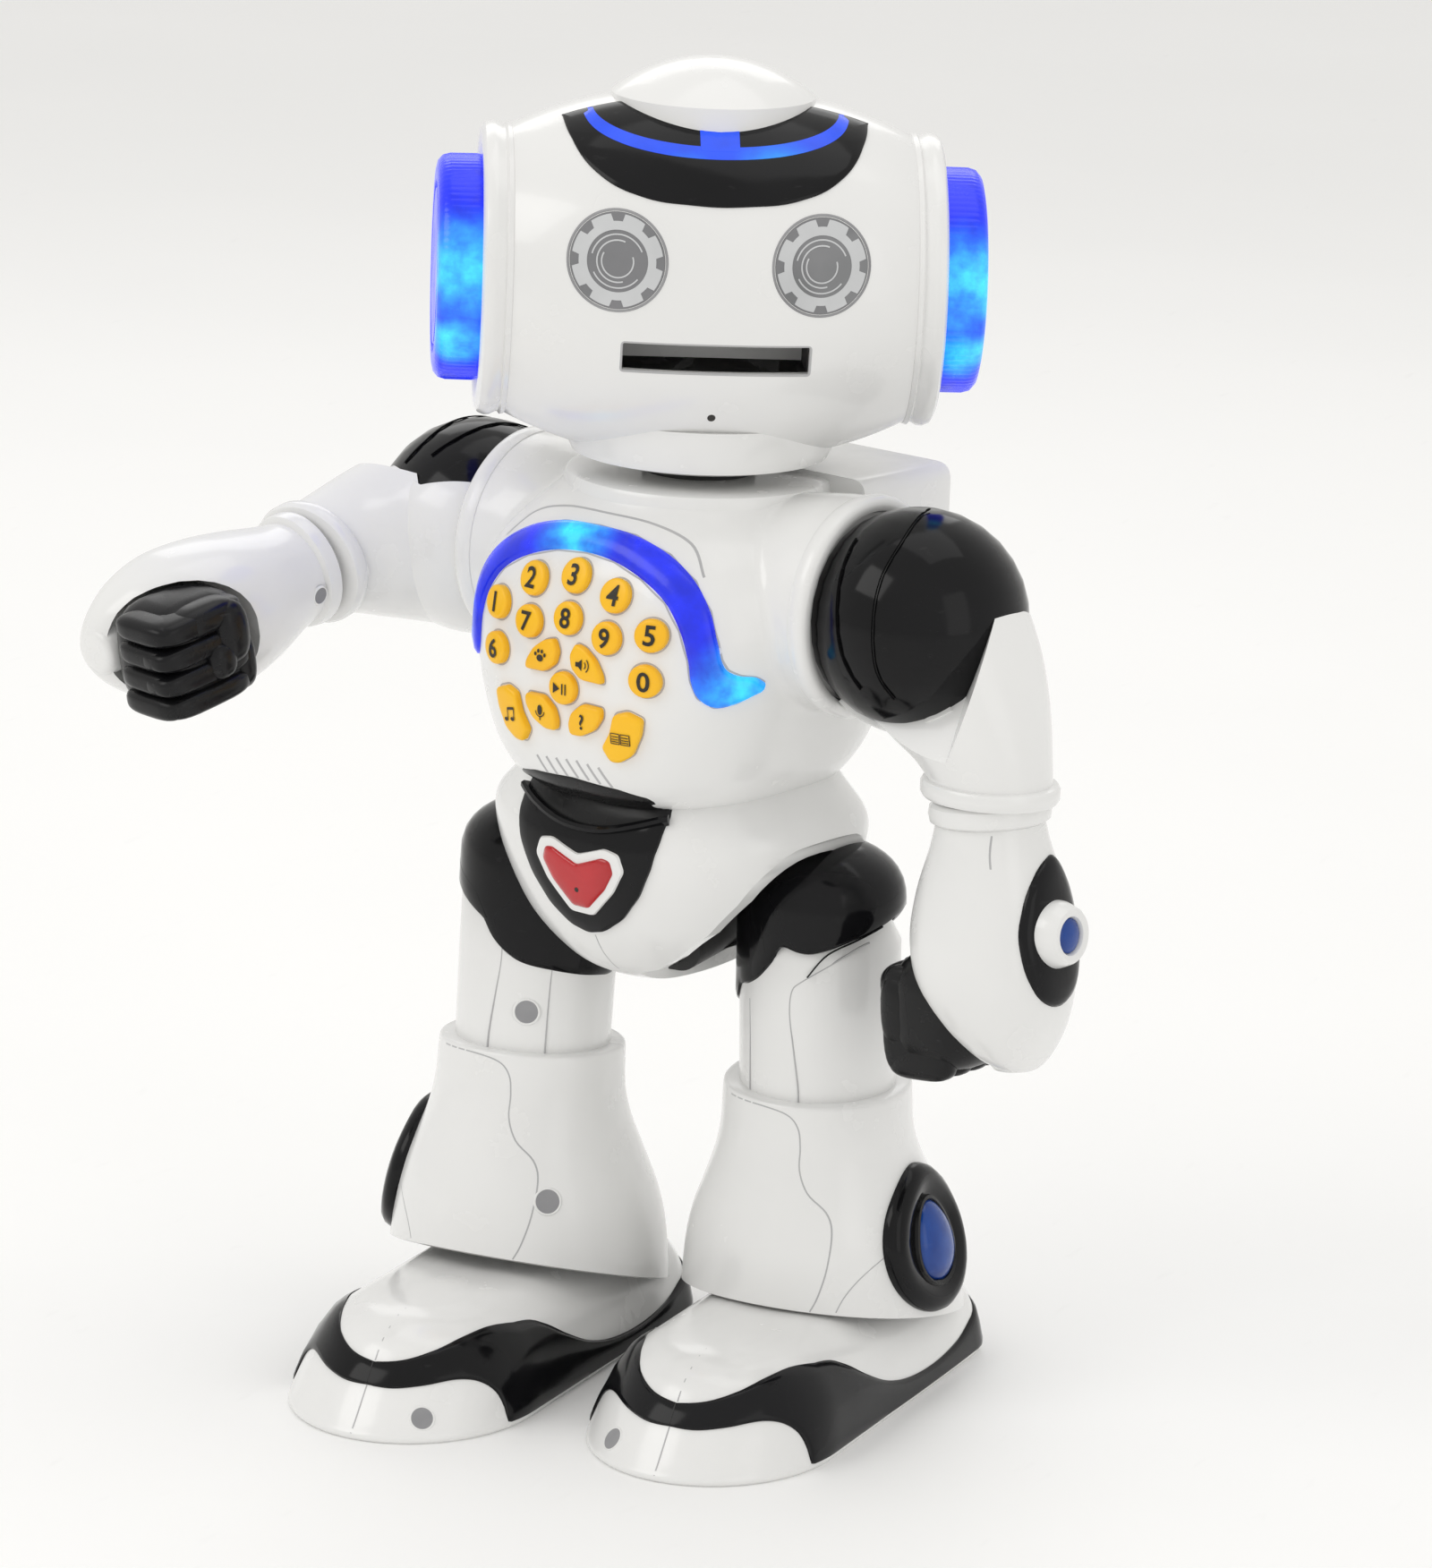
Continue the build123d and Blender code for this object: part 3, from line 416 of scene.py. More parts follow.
def evaluated(shape, modifiers):
    """The shape after Blender modifiers given as (type, settings), as a new Shape."""
    thing = bpy.data.objects.new("work", shape.mesh("work"))
    bpy.context.scene.collection.objects.link(thing)
    cutters = []
    for kind, settings in modifiers:
        modifier = thing.modifiers.new(kind, kind)
        for key, value in settings.items():
            if isinstance(value, Shape):
                value = bpy.data.objects.new("cutter", value.mesh("cutter"))
                bpy.context.scene.collection.objects.link(value)
                cutters.append(value)
            setattr(modifier, key, value)
    bpy.context.view_layer.update()
    view = thing.evaluated_get(bpy.context.evaluated_depsgraph_get())
    mesh = view.to_mesh()
    result = Shape()
    result.points = [vertex.co.copy() for vertex in mesh.vertices]
    result.faces = [tuple(polygon.vertices) for polygon in mesh.polygons]
    result.marks = [polygon.material_index for polygon in mesh.polygons]
    view.to_mesh_clear()
    for spent in (thing, *cutters):
        bpy.data.objects.remove(spent, do_unlink=True)
    return result


def melted(shape, voxel, rounds):
    """One skin over all the shape's parts, with soft fillets where they meet."""
    return evaluated(shape, (("REMESH", {"mode": "VOXEL", "voxel_size": voxel}),
                             ("SMOOTH", {"factor": 0.6, "iterations": rounds})))


def cut(shape, *cutters):
    """The shape without the parts inside the cutters."""
    return evaluated(shape, [("BOOLEAN", {"operation": "DIFFERENCE", "solver": "EXACT", "object": cutter})
                             for cutter in cutters])


def piece(name, shape, place, materials, body, nodes=(), sharp=38.0):
    """Puts a shape into the scene as a named piece that rides on a body and may stand for CAD nodes."""
    mesh = shape.mesh(name, place)
    mesh.polygons.foreach_set("use_smooth", [True] * len(mesh.polygons))
    mesh.set_sharp_from_angle(angle=radians(sharp))
    for material in materials:
        mesh.materials.append(material)
    thing = bpy.data.objects.new(name, mesh)
    bpy.context.scene.collection.objects.link(thing)
    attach(thing, body)
    if nodes:
        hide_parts(*nodes)


FAR = 200.0                 # further out than any surface of a group


class Skin:
    """A shape's surface that flat drawings are pressed onto along one direction."""

    def __init__(self, shape, toward):
        self.tree = BVHTree.FromPolygons(shape.points, shape.faces)
        self.toward = Vector(toward).normalized()
        up = Vector((0, 0, 1)) if abs(self.toward.z) < 0.9 else Vector((0, 1, 0))
        self.across = self.toward.cross(up).normalized()
        self.up = self.across.cross(self.toward).normalized()

    def at(self, u, v, lift=0.0):
        """Point over the surface where a drawing's point (u, v) lands."""
        start = self.across * u + self.up * v - self.toward * FAR
        place, normal, _, _ = self.tree.ray_cast(start, self.toward)
        if place is None:
            place, normal, _, _ = self.tree.find_nearest(start + self.toward * FAR)
        if normal.dot(self.toward) > 0:
            normal = -normal
        return place + normal * lift


def inlay(skin, outline, profile, centre, shape=None):
    """Raised or sunk patch: profile lists (share of the way out, lift) from the middle to the rim."""
    shape = shape or Shape()
    cu, cv = centre
    rows = [[skin.at(cu + (u - cu) * share, cv + (v - cv) * share, lift) for u, v in outline]
            for share, lift in profile]
    return shape.rows(rows, cap_start=True)


def ends(shape, start, width, count):
    """Closes the two ends of a band of rows that starts at a point's number."""
    for first in (start, start + (count - 1) * width):
        shape.faces.append(tuple(range(first, first + width)))
        shape.marks.append(0)


def strip(skin, path, profile, closed=False, shape=None):
    """Band along a drawn path of (u, v, half width): profile lists (side -1..1, lift) across it."""
    shape = shape or Shape()
    rows = []
    count = len(path)
    for i, (u, v, half) in enumerate(path):
        before = path[(i - 1) % count] if closed or i else path[i]
        after = path[(i + 1) % count] if closed or i < count - 1 else path[i]
        du, dv = after[0] - before[0], after[1] - before[1]
        length = hypot(du, dv) or 1.0
        rows.append([skin.at(u - dv / length * half * side, v + du / length * half * side, lift)
                     for side, lift in profile])
    if closed:
        rows.append(rows[0])
    start = len(shape.points)
    shape.rows(rows, False)
    if not closed:
        ends(shape, start, len(profile), count)
    return shape


LINE = ((-1.0, -0.3), (-0.6, 0.03), (0.6, 0.03), (1.0, -0.3))


def seam(skin, points, half=0.22, steps=8, shape=None):
    """Thin parting line drawn smoothly through points."""
    return strip(skin, [(u, v, half) for u, v in spline(points, steps)], LINE, shape=shape)


def edging(skin, outline, half, profile=LINE, shape=None):
    """Thin line that follows a closed outline."""
    return strip(skin, [(u, v, half) for u, v in outline], profile, True, shape)


def rounded(outline, radius, steps=6):
    """Closed polygon with its corners rounded."""
    result = []
    count = len(outline)
    for i in range(count):
        a, b, c = (Vector(outline[(i + k) % count]).to_2d() for k in (-1, 0, 1))
        reach = min(radius, (a - b).length * 0.48, (c - b).length * 0.48)
        p, q = b + (a - b).normalized() * reach, b + (c - b).normalized() * reach
        for k in range(steps + 1):
            t = k / steps
            result.append(tuple(p * (1 - t) ** 2 + b * 2 * t * (1 - t) + q * t * t))
    dense = []
    for i, p in enumerate(result):
        q = result[(i + 1) % len(result)]
        span = hypot(q[0] - p[0], q[1] - p[1])
        parts = max(1, int(span / 1.6))
        dense += [(p[0] + (q[0] - p[0]) * k / parts, p[1] + (q[1] - p[1]) * k / parts) for k in range(parts)]
    return dense


def oval(radius_u, radius_v, centre, count):
    """Ellipse as drawn points."""
    turns = [2 * pi * i / count for i in range(count)]
    return [(centre[0] + radius_u * cos(turn), centre[1] + radius_v * sin(turn)) for turn in turns]


def solid(rings):
    """Closed form through rings, from its first end to its last."""
    return Shape().rows(rings, True, 0, True, True)


def prism(outline, y0, y1):
    """Outline in x and z drawn out along y."""
    return solid([[Vector((x, y, z)) for x, z in outline] for y in (y0, y1)])


def turned(profile, place=None, count=96):
    """Closed turned form."""
    return Shape().lathe(profile, place, count, 0, (True, True))


def pair(name, shape, group, materials, body, node=None, sharp=38.0):
    """The same piece on the left and on the right; a dictionary gives each side its own shape."""
    for side in SIDES:
        own = shape[side] if isinstance(shape, dict) else shape
        piece(f"{side}_{name}", own, group[side], materials, f"{side}_{body}",
              (f"{side}_{node}",) if node else (), sharp)


def on_head(name, shape, material, nodes=()):
    """A piece that rides on the head."""
    piece(name, shape, HEAD, [material], "head", nodes)


def on_torso(name, shape, material, nodes=(), sharp=38.0):
    """A piece that rides on the torso."""
    piece(name, shape, TORSO, [material], "torso", nodes, sharp)


FRONT = (0, 1, 0)           # looking direction for drawings on the front
OUTER_SIDE = (-1, 0, 0)     # and for drawings on the outward side of an arm or leg


# ================================================================ head
HEAD_HALF = 44.5            # half the barrel's width
HEAD_R, HEAD_END_R = 41.0, 31.4


def head_profile(x):
    """Radius of the head's barrel about the ear line."""
    return HEAD_R - (HEAD_R - HEAD_END_R) * (abs(x) / HEAD_HALF) ** 2.35


def outward(sign, at=(0.0, 0.0, 0.0)):
    """Places a turned form with its axis along x, pointing out of the robot's side."""
    return Matrix.Translation(at) @ Matrix.Rotation(sign * pi / 2, 4, "Y")


barrel = turned([(head_profile(x), x) for x in [-HEAD_HALF + 2 * HEAD_HALF * i / 48 for i in range(49)]],
                outward(1), 128)
chin = turned(((24.0, -40.6), (28.5, -39.4), (29.6, -37.0), (29.6, -30.0)))
head_skin = Skin(barrel, FRONT)
mouth_cut = prism(((-20.3, -15.0), (20.3, -15.0), (20.3, -8.6), (-20.3, -8.6)), -60, -20)
on_head("head_barrel", cut(barrel, mouth_cut), WHITE, ("head_front_shell", "head_rear_shell"))
on_head("chin_plate", chin, WHITE)
on_head("neck_stem", turned(((12.6, -53.0), (12.6, -40.0)), None, 64), INNER)
lip = rounded([(-20.5, -15.2), (20.5, -15.2), (20.5, -8.4), (-20.5, -8.4)], 0.8)
on_head("mouth_lip", edging(head_skin, lip, 0.3), SEAM)

HALF_VISOR = [(14, 21.4), (23, 23.8), (29.5, 28.2), (33.2, 34.0), (34.0, 37.0), (31.5, 39.6)]
visor_corners = [(0, 20.6)] + HALF_VISOR + [(0, 40.6)] + [(-u, v) for u, v in reversed(HALF_VISOR)]
visor_edge = [(u, min(v, head_profile(u) - 0.7)) for u, v in rounded(visor_corners, 3.4)]
visor = inlay(head_skin, visor_edge, [(i / 14, 0.55) for i in range(1, 14)]
              + [(0.97, 0.5), (0.99, 0.3), (1.0, -0.4)], (0, 33.0))
on_head("visor_glass", visor, BLACK, ("visor",))
visor_skin = Skin(visor, FRONT)
smile = [(28.0 * sin(t), 31.2 + 6.4 * (1 - cos(t * 0.98)) / (1 - cos(1.54)), 1.25)
         for t in [-1.57 + 3.14 * i / 60 for i in range(61)]]
visor_light = strip(visor_skin, smile, ((-1.0, -0.2), (-0.9, 0.06), (0.0, 0.08), (0.9, 0.06), (1.0, -0.2)))
block = rounded([(-4.4, 31.4), (4.4, 31.4), (4.4, 39.4), (-4.4, 39.4)], 0.5)
inlay(visor_skin, block, ((0.3, 0.1), (0.6, 0.1), (0.96, 0.1), (1.0, -0.2)), (0, 35.4), visor_light)
on_head("visor_light", visor_light, SMILE)


def eye_print(cu, cv):
    """Toothed ring and thin arcs printed on an eye disc."""
    teeth, count = 8, 160
    inner, outer = [], []
    for i in range(count):
        turn = 2 * pi * i / count
        wave = (turn * teeth / (2 * pi)) % 1.0
        inner.append((turn, 6.5))
        outer.append((turn, 9.75 if 0.18 < wave < 0.82 else 8.25))
    rows = [[head_skin.at(cu + r * cos(t), cv + r * sin(t), lift) for t, r in ring]
            for ring, lift in ((inner, 0.0), (inner, 0.16), (outer, 0.16), (outer, 0.0))]
    shape = Shape().rows(rows)
    for radius, start, stop in ((5.6, 0.4, 2.9), (5.6, 3.6, 5.6), (4.4, 1.2, 5.0), (3.4, 2.6, 6.6)):
        turns = [start + (stop - start) * i / 30 for i in range(31)]
        path = [(cu + radius * cos(turn), cv + radius * sin(turn), 0.2) for turn in turns]
        strip(head_skin, path, ((-1.0, 0.0), (-0.7, 0.17), (0.7, 0.17), (1.0, 0.0)), shape=shape)
    return shape


for side, sign in SIGNS:
    eye = (sign * 22.0, 9.0)
    disc_profile = ((0.2, 0.1), (0.5, 0.1), (0.8, 0.1), (0.96, 0.1), (1.0, -0.3))
    disc = inlay(head_skin, oval(10.5, 10.5, eye, 72), disc_profile, eye)
    on_head(f"{side}_eye_disc", disc, EYE_GREY, ("eye_lenses",) if sign > 0 else ())
    on_head(f"{side}_eye_print", eye_print(*eye), PRINT)
    # Thin grey ring of painted shade in the gap round the eye disc.
    rim = edging(head_skin, oval(10.55, 10.55, eye, 72), 0.32,
                 ((-1.0, 0.0), (-0.5, 0.2), (0.5, 0.2), (1.0, -0.2)))
    on_head(f"{side}_eye_rim_shade", rim, RECESS_SHADE)

    ear = outward(sign)
    ring = Shape().lathe(((29.0, 42.0), (31.9, 44.0), (32.15, 44.9), (31.5, 45.4), (31.6, 46.0), (32.2, 47.2),
                          (32.3, 48.4), (31.8, 49.7), (30.6, 50.4), (29.0, 50.5), (26.6, 50.3), (25.7, 49.6),
                          (25.5, 47.0)), ear, 128)
    on_head(f"{side}_ear_ring", ring, WHITE, ("ear_rings",) if sign > 0 else ())
    turns = [2 * pi * i / 288 for i in range(288)]
    drum_rows = []
    for radius, x, rib in ((24.6, 46.5, 0.0), (24.7, 50.4, 0.0), (24.75, 51.2, 0.10), (24.7, 57.0, 0.10),
                           (24.3, 58.6, 0.05), (23.2, 59.6, 0.0), (21.6, 59.95, 0.0), (19.2, 59.9, 0.0),
                           (18.9, 59.2, 0.0), (17.4, 59.2, 0.0), (17.0, 59.9, 0.0), (6.0, 59.9, 0.0)):
        reaches = [radius + rib * cos(pi * i / 1.5) for i in range(len(turns))]
        drum_rows.append([ear @ Vector((reach * cos(turn), reach * sin(turn), x))
                          for turn, reach in zip(turns, reaches)])
    drum = Shape().rows(drum_rows, cap_end=True)
    on_head(f"{side}_ear_drum", drum, EAR[side], ("ear_lights",) if sign > 0 else ())

# The mic hole is a flat black disc with no hole cut: painted shade in the hole.
mic = inlay(head_skin, oval(0.95, 0.95, (0, -26.0), 24), ((0.5, 0.06), (0.9, 0.06), (1.0, -0.1)), (0, -26.0))
on_head("mic_hole", mic, INK_AND_HOLE_SHADE)

# ================================================================ torso
TORSO_FORM = (              # z, half width, half depth, centre y, squareness
    (137.6, 30.0, 32.0, -3.0, 2.3), (141.0, 34.0, 36.0, -3.0, 2.45), (149.0, 38.2, 39.8, -2.2, 2.6),
    (163.0, 41.4, 42.2, -1.5, 2.8), (178.0, 42.4, 42.2, -1.0, 2.9), (189.0, 40.4, 40.0, -0.6, 2.75),
    (197.0, 35.4, 35.6, -0.2, 2.4), (202.0, 31.0, 31.2, 0.0, 2.15), (204.6, 29.0, 29.0, 0.0, 2.0),
)
SHOULDER = (0.0, 0.0, 184.0)


def sections(form, steps, count=112, shrink=0.0):
    """Rings through a form's table of z, half width, half depth, centre y and squareness."""
    return [loop(count, hx - shrink, hy - shrink, (0, cy), power, z)
            for z, hx, hy, cy, power in spline(form, steps)]


trunk = solid(sections(TORSO_FORM, 6))
trunk.join(turned(((29.2, 192.0), (29.6, 203.6), (29.2, 205.4), (27.6, 206.4), (20.0, 206.6))))
for sign in (1, -1):
    trunk.join(turned(((19.0, 16.0), (22.6, 30.0), (23.9, 40.0), (24.2, 47.6), (23.2, 48.2)),
                      outward(sign, SHOULDER)))
pack_rows = []
for y, grow in ((14.0, 0.0), (44.4, 0.0), (46.2, -0.5), (47.0, -1.8)):
    ring = rounded([(-36.0 - grow, 151.0 - grow), (36.0 + grow, 151.0 - grow), (36.0 + grow, 208.0 + grow),
                    (-36.0 - grow, 208.0 + grow)], 4.0)
    pack_rows.append([(x, y, z) for x, z in ring])
width = min(len(row) for row in pack_rows)
pack = solid([[row[int(i * len(row) / width)] for i in range(width)] for row in pack_rows])
trunk_form = melted(trunk, 0.9, 9)
door_cut = prism(((-30.2, 154.8), (30.2, 154.8), (30.2, 204.2), (-30.2, 204.2)), 44.6, 60)
bay_cut = prism(((-29.0, 156.0), (29.0, 156.0), (29.0, 203.0), (-29.0, 203.0)), 26.0, 58)
pack_form = cut(pack, door_cut, bay_cut)
trunk_skin = Skin(trunk_form, FRONT)
on_torso("torso_body", trunk_form, WHITE, ("torso_front_shell",))
on_torso("backpack", pack_form, WHITE, ("torso_rear_shell",), 30)
for side, sign in SIGNS:
    rim = Shape().lathe(((23.0, 44.6), (24.3, 45.2), (24.8, 46.4), (24.9, 47.8), (24.6, 49.0), (23.8, 49.8),
                         (22.6, 50.0), (21.6, 49.6), (21.0, 48.2), (21.0, 44.0)), outward(sign, SHOULDER),
                        112)
    on_torso(f"{side}_shoulder_rim", rim, WHITE)

# ================================================================ pelvis
PELVIS_FORM = (             # z, half width, half depth, centre y, squareness
    (92.6, 6.0, 10.0, 0.0, 2.0), (94.2, 14.0, 19.0, 0.0, 2.1), (98.0, 22.0, 26.4, 0.0, 2.2),
    (106.0, 31.5, 31.4, -0.2, 2.4), (117.0, 38.4, 34.4, -0.6, 2.45), (126.0, 41.6, 35.4, -1.0, 2.45),
    (131.6, 41.9, 34.6, -1.0, 2.4), (137.0, 37.4, 32.6, -1.0, 2.3), (141.2, 33.4, 30.6, -1.0, 2.3),
)
PELVIS_WALL = 2.4
hips_outer = solid(sections(PELVIS_FORM, 5))
hips_inner = solid(sections(PELVIS_FORM[2:7], 4, 80, PELVIS_WALL))
OPENING = ((60.0, 131.6), (43.6, 131.6), (41.2, 129.6), (38.0, 124.8), (33.2, 117.4), (26.8, 109.6),
           (19.0, 102.8), (13.0, 98.8), (8.0, 97.0), (6.0, 80.0), (60.0, 80.0))
openings = [prism([(sign * x, z) for x, z in OPENING], -60, 60) for sign in (1, -1)]
hips_form = cut(hips_outer, hips_inner, *openings)
hips_skin = Skin(hips_outer, FRONT)
on_torso("pelvis_briefs", hips_form, WHITE, ("pelvis_shell",), 30)

# ================================================================ arms (own frame: ring centre, x outward)
LEG_SPREAD = abs(JOINTS["left_hip"]["pos_m"][0] - AXIS.x) * 1000.0
HIP_HEIGHT = JOINTS["left_hip"]["pos_m"][2] * 1000.0
ANKLE_HEIGHT = 26.0
RAISE = {"left": 0.0, "right": radians(-77.0)}
STRIDE = {"left": radians(3.3), "right": radians(-3.3)}
ARM, HAND, LEG, FOOT = {}, {}, {}, {}
ground = Matrix.Translation(Vector((AXIS.x, AXIS.y, 0))) @ Matrix.Scale(MM, 4)
for side, sign in SIGNS:
    mirror = Matrix.Scale(-1, 4, (1, 0, 0)) if sign < 0 else Matrix()
    ring_centre = Matrix.Translation((sign * 50.0, 0, 184.0))
    ARM[side] = TORSO @ ring_centre @ Matrix.Rotation(RAISE[side], 4, "X") @ mirror
    HAND[side] = ARM[side] @ Matrix.Translation((34.0, 0, -36.2)) @ Matrix.Rotation(radians(-6.0), 4, "Y")
    swing = Matrix.Rotation(STRIDE[side], 4, "X") @ Matrix.Translation((0, 0, -HIP_HEIGHT))
    LEG[side] = ground @ Matrix.Translation((sign * LEG_SPREAD, 0, HIP_HEIGHT)) @ swing @ mirror
    step = (HIP_HEIGHT - ANKLE_HEIGHT) * sin(STRIDE[side])
    FOOT[side] = ground @ Matrix.Translation((sign * LEG_SPREAD, step, 0)) @ mirror

ARM_CENTRE, ARM_R = Vector((12.4, 0.0, 0.0)), 24.3
dome = Shape().ball(ARM_CENTRE, (ARM_R, ARM_R, ARM_R), count=80)
sleeve_rows = []
ARM_FORM = (                # centre x, centre z, radius across, radius front to back, slope of the section
    (22.0, -9.0, 20.0, 21.4, 0.80), (25.5, -14.0, 18.6, 19.6, 0.62), (28.8, -20.0, 16.9, 17.4, 0.42),
    (31.6, -26.0, 15.2, 15.0, 0.2), (33.6, -31.6, 14.2, 13.2, 0.0), (34.0, -32.6, 14.2, 13.1, 0.0),
)
for x, z, across, deep, slope in spline(ARM_FORM, 5):
    tilt = Matrix.Translation((x, 0, z)) @ Matrix.Rotation(-slope, 4, "Y")
    sleeve_rows.append([tilt @ Vector((u, v, 0)) for u, v in oval(across, deep, (0.0, 0.0), 72)])
sleeve = solid(sleeve_rows)
ELBOW_EDGE = (              # growth, z
    (-0.6, -31.8), (1.0, -32.2), (1.5, -33.0), (1.5, -35.0), (1.0, -35.9), (-0.4, -36.2),
)
elbow_plate = solid([loop(72, 14.2 + grow, 12.9 + grow, (34.0, 0), 2.0, z) for grow, z in ELBOW_EDGE])
pair("dome", dome, ARM, [BLACK], "arm", "shoulder_dome")
pair("elbow_plate", elbow_plate, ARM, [WHITE], "arm")

# ================================================================ forearm (own frame: under the elbow plate)
GAUNTLET = (                # z, radius x, radius y, centre x, squareness
    (-4.6, 12.0, 11.8, 0.0, 2.0), (-10.0, 13.0, 12.8, -0.2, 2.1), (-20.0, 15.8, 15.2, -0.6, 2.25),
    (-30.0, 17.0, 16.9, -0.8, 2.35), (-40.0, 16.4, 17.0, 0.2, 2.35), (-49.0, 13.0, 14.4, 2.2, 2.25),
    (-55.4, 8.6, 10.0, 4.2, 2.1), (-59.0, 4.6, 5.2, 5.6, 2.0), (-59.9, 1.6, 1.8, 6.0, 2.0),
)
glove = solid([loop(96, rx, ry, (cx, 0), power, z) for z, rx, ry, cx, power in spline(GAUNTLET, 5)])
hollow = Shape().ball((-14.0, -0.5, -47.6), (18.5, 14.4, 17.4), 2.3, count=48)
glove_form = cut(glove, hollow)
FLANGE = ((6.0, -0.2), (12.4, -0.3), (13.2, -1.0), (13.5, -2.6), (13.2, -4.4), (12.0, -5.2), (8.0, -5.4))
wrist = turned(FLANGE, None, 72)
pair("glove", glove_form, HAND, [WHITE], "hand", "forearm", 30)
pair("wrist_flange", wrist, HAND, [WHITE], "hand")

# ================================================================ legs (own frame: upright, under the hip)
THIGH_R = 18.0
thigh_form = turned(((17.6, 56.6), (17.7, 70.0), (18.0, 90.0), (18.0, 104.0), (14.0, 112.0)))
CUFF_TOP, CUFF_LOW, CUFF_WALL = 71.2, 6.0, 2.0
CUFF_FORM = (               # z, half width, half depth, centre y
    (71.2, 20.2, 20.2, 0.0), (70.2, 20.9, 20.9, 0.0), (66.0, 21.1, 21.1, 0.0), (58.0, 21.4, 21.8, 0.2),
    (50.0, 22.6, 24.0, 1.0), (40.0, 25.4, 27.8, 2.6), (30.0, 28.4, 31.2, 4.0), (20.0, 30.2, 33.2, 4.9),
    (6.0, 31.4, 34.0, 5.6),
)


def cuff_rim(y):
    """Height of the cuff's slanting lower edge."""
    return 19.2 - 0.24 * y


def cuff_rows(shrink):
    """The cuff's rings, stretched so that the lowest lies on the slanting edge."""
    rows = []
    for z, hx, hy, cy in spline(CUFF_FORM, 5):
        row = loop(96, hx - shrink, hy - shrink, (0, cy), 2.12, z)
        share = (CUFF_TOP - z) / (CUFF_TOP - CUFF_LOW)
        for point in row:
            point.z = CUFF_TOP - (CUFF_TOP - cuff_rim(point.y)) * min(1.0, share) if share > 0 else z
        rows.append(row)
    return rows


cuff_outer = cuff_rows(0.0)
cuff_inner = cuff_rows(CUFF_WALL)
edge = [[(a + b) / 2 + Vector((0, 0, -0.35)) for a, b in zip(cuff_outer[-1], cuff_inner[-1])]]
cuff_form = Shape().rows([[Vector((p.x * 0.86, p.y * 0.86, p.z)) for p in cuff_outer[0]]]
                         + cuff_outer + edge + cuff_inner[::-1])
pair("thigh_tube", thigh_form, LEG, [WHITE], "leg", "thigh")
pair("cuff", cuff_form, LEG, [WHITE], "leg", "shin")

# ================================================================ feet (own frame: upright, under the ankle)
FOOT_FORM = (               # z, half width, toe y, heel y, heel corner radius
    (0.0, 27.4, -82.8, 41.6, 9.6), (1.2, 28.0, -83.5, 42.0, 10.0), (4.0, 27.6, -81.2, 42.0, 10.0),
    (10.0, 26.0, -76.6, 41.6, 10.0), (15.0, 23.6, -72.6, 40.6, 10.0), (19.0, 20.4, -69.0, 38.6, 9.5),
    (22.4, 14.8, -62.6, 33.0, 8.0), (23.4, 8.0, -56.0, 24.0, 6.0),
)


def foot_ring(half, toe, heel, corner, z):
    """Outline of the foot at one height: a round toe, straight sides and a square heel, in 120 steps."""
    ring = []
    toe_end = toe + 1.2 * half
    for i in range(49):
        angle = pi + pi * i / 48
        ring.append(Vector((half * cos(angle), toe + half * 1.2 * (1 + sin(angle)), z)))
    side = heel - corner
    for i in range(1, 25):
        ring.append(Vector((half, toe_end + (side - toe_end) * i / 24, z)))
    for i in range(1, 9):
        angle = pi / 2 * i / 8
        ring.append(Vector((half - corner + corner * cos(angle), side + corner * sin(angle), z)))
    for i in range(1, 8):
        ring.append(Vector(((half - corner) * (1 - 2 * i / 8), heel, z)))
    for i in range(0, 8):
        angle = pi / 2 + pi / 2 * i / 8
        ring.append(Vector((-half + corner + corner * cos(angle), side + corner * sin(angle), z)))
    for i in range(0, 24):
        ring.append(Vector((-half, side + (toe_end - side) * i / 24, z)))
    return ring


foot_levels = [(z, foot_ring(half, toe, heel, corner, z))
               for z, half, toe, heel, corner in spline(FOOT_FORM, 4)]
pair("foot_body", solid([ring for _, ring in foot_levels]), FOOT, [WHITE], "foot", "foot_shell")


# ================================================================ chest light, keypad and slots
def ribbon(skin, pairs, profile):
    """Band between two drawn edges given as (u, v, u, v) pairs; profile lists (share across, lift)."""
    rows = [[skin.at(u0 + (u1 - u0) * share, v0 + (v1 - v0) * share, lift) for share, lift in profile]
            for u0, v0, u1, v1 in spline(pairs, 5)]
    shape = Shape().rows(rows, False)
    ends(shape, 0, len(profile), len(rows))
    return shape


ARCH = (                    # outer edge then inner edge of the right half, from the crown to the tail
    (0.0, 199.2, 0.0, 193.6), (10.0, 198.6, 8.0, 192.9), (19.5, 195.8, 16.0, 190.4),
    (27.0, 191.2, 22.6, 186.4), (31.6, 185.4, 26.8, 180.8), (33.9, 178.8, 29.0, 174.6),
    (34.7, 175.0, 29.6, 170.0), (35.6, 172.7, 30.8, 166.2), (37.2, 171.4, 33.4, 164.0),
    (38.8, 170.9, 36.4, 165.0), (39.5, 169.6, 38.8, 167.2),
)
BAND = ((0.0, -0.6), (0.04, 0.5), (0.18, 1.1), (0.5, 1.45), (0.82, 1.1), (0.96, 0.5), (1.0, -0.6))
arch = [(-a, b, -c, d) for a, b, c, d in ARCH[:0:-1]] + list(ARCH)
on_torso("chest_light_band", ribbon(trunk_skin, arch, BAND), CHEST, ("chest_light",), 60)
edge_line = [(u, v) for u, v, _, _ in arch] + [(u, v) for _, _, u, v in reversed(arch)]
on_torso("chest_light_edge", edging(trunk_skin, rounded(edge_line, 0.4, 2), 0.28), SEAM)

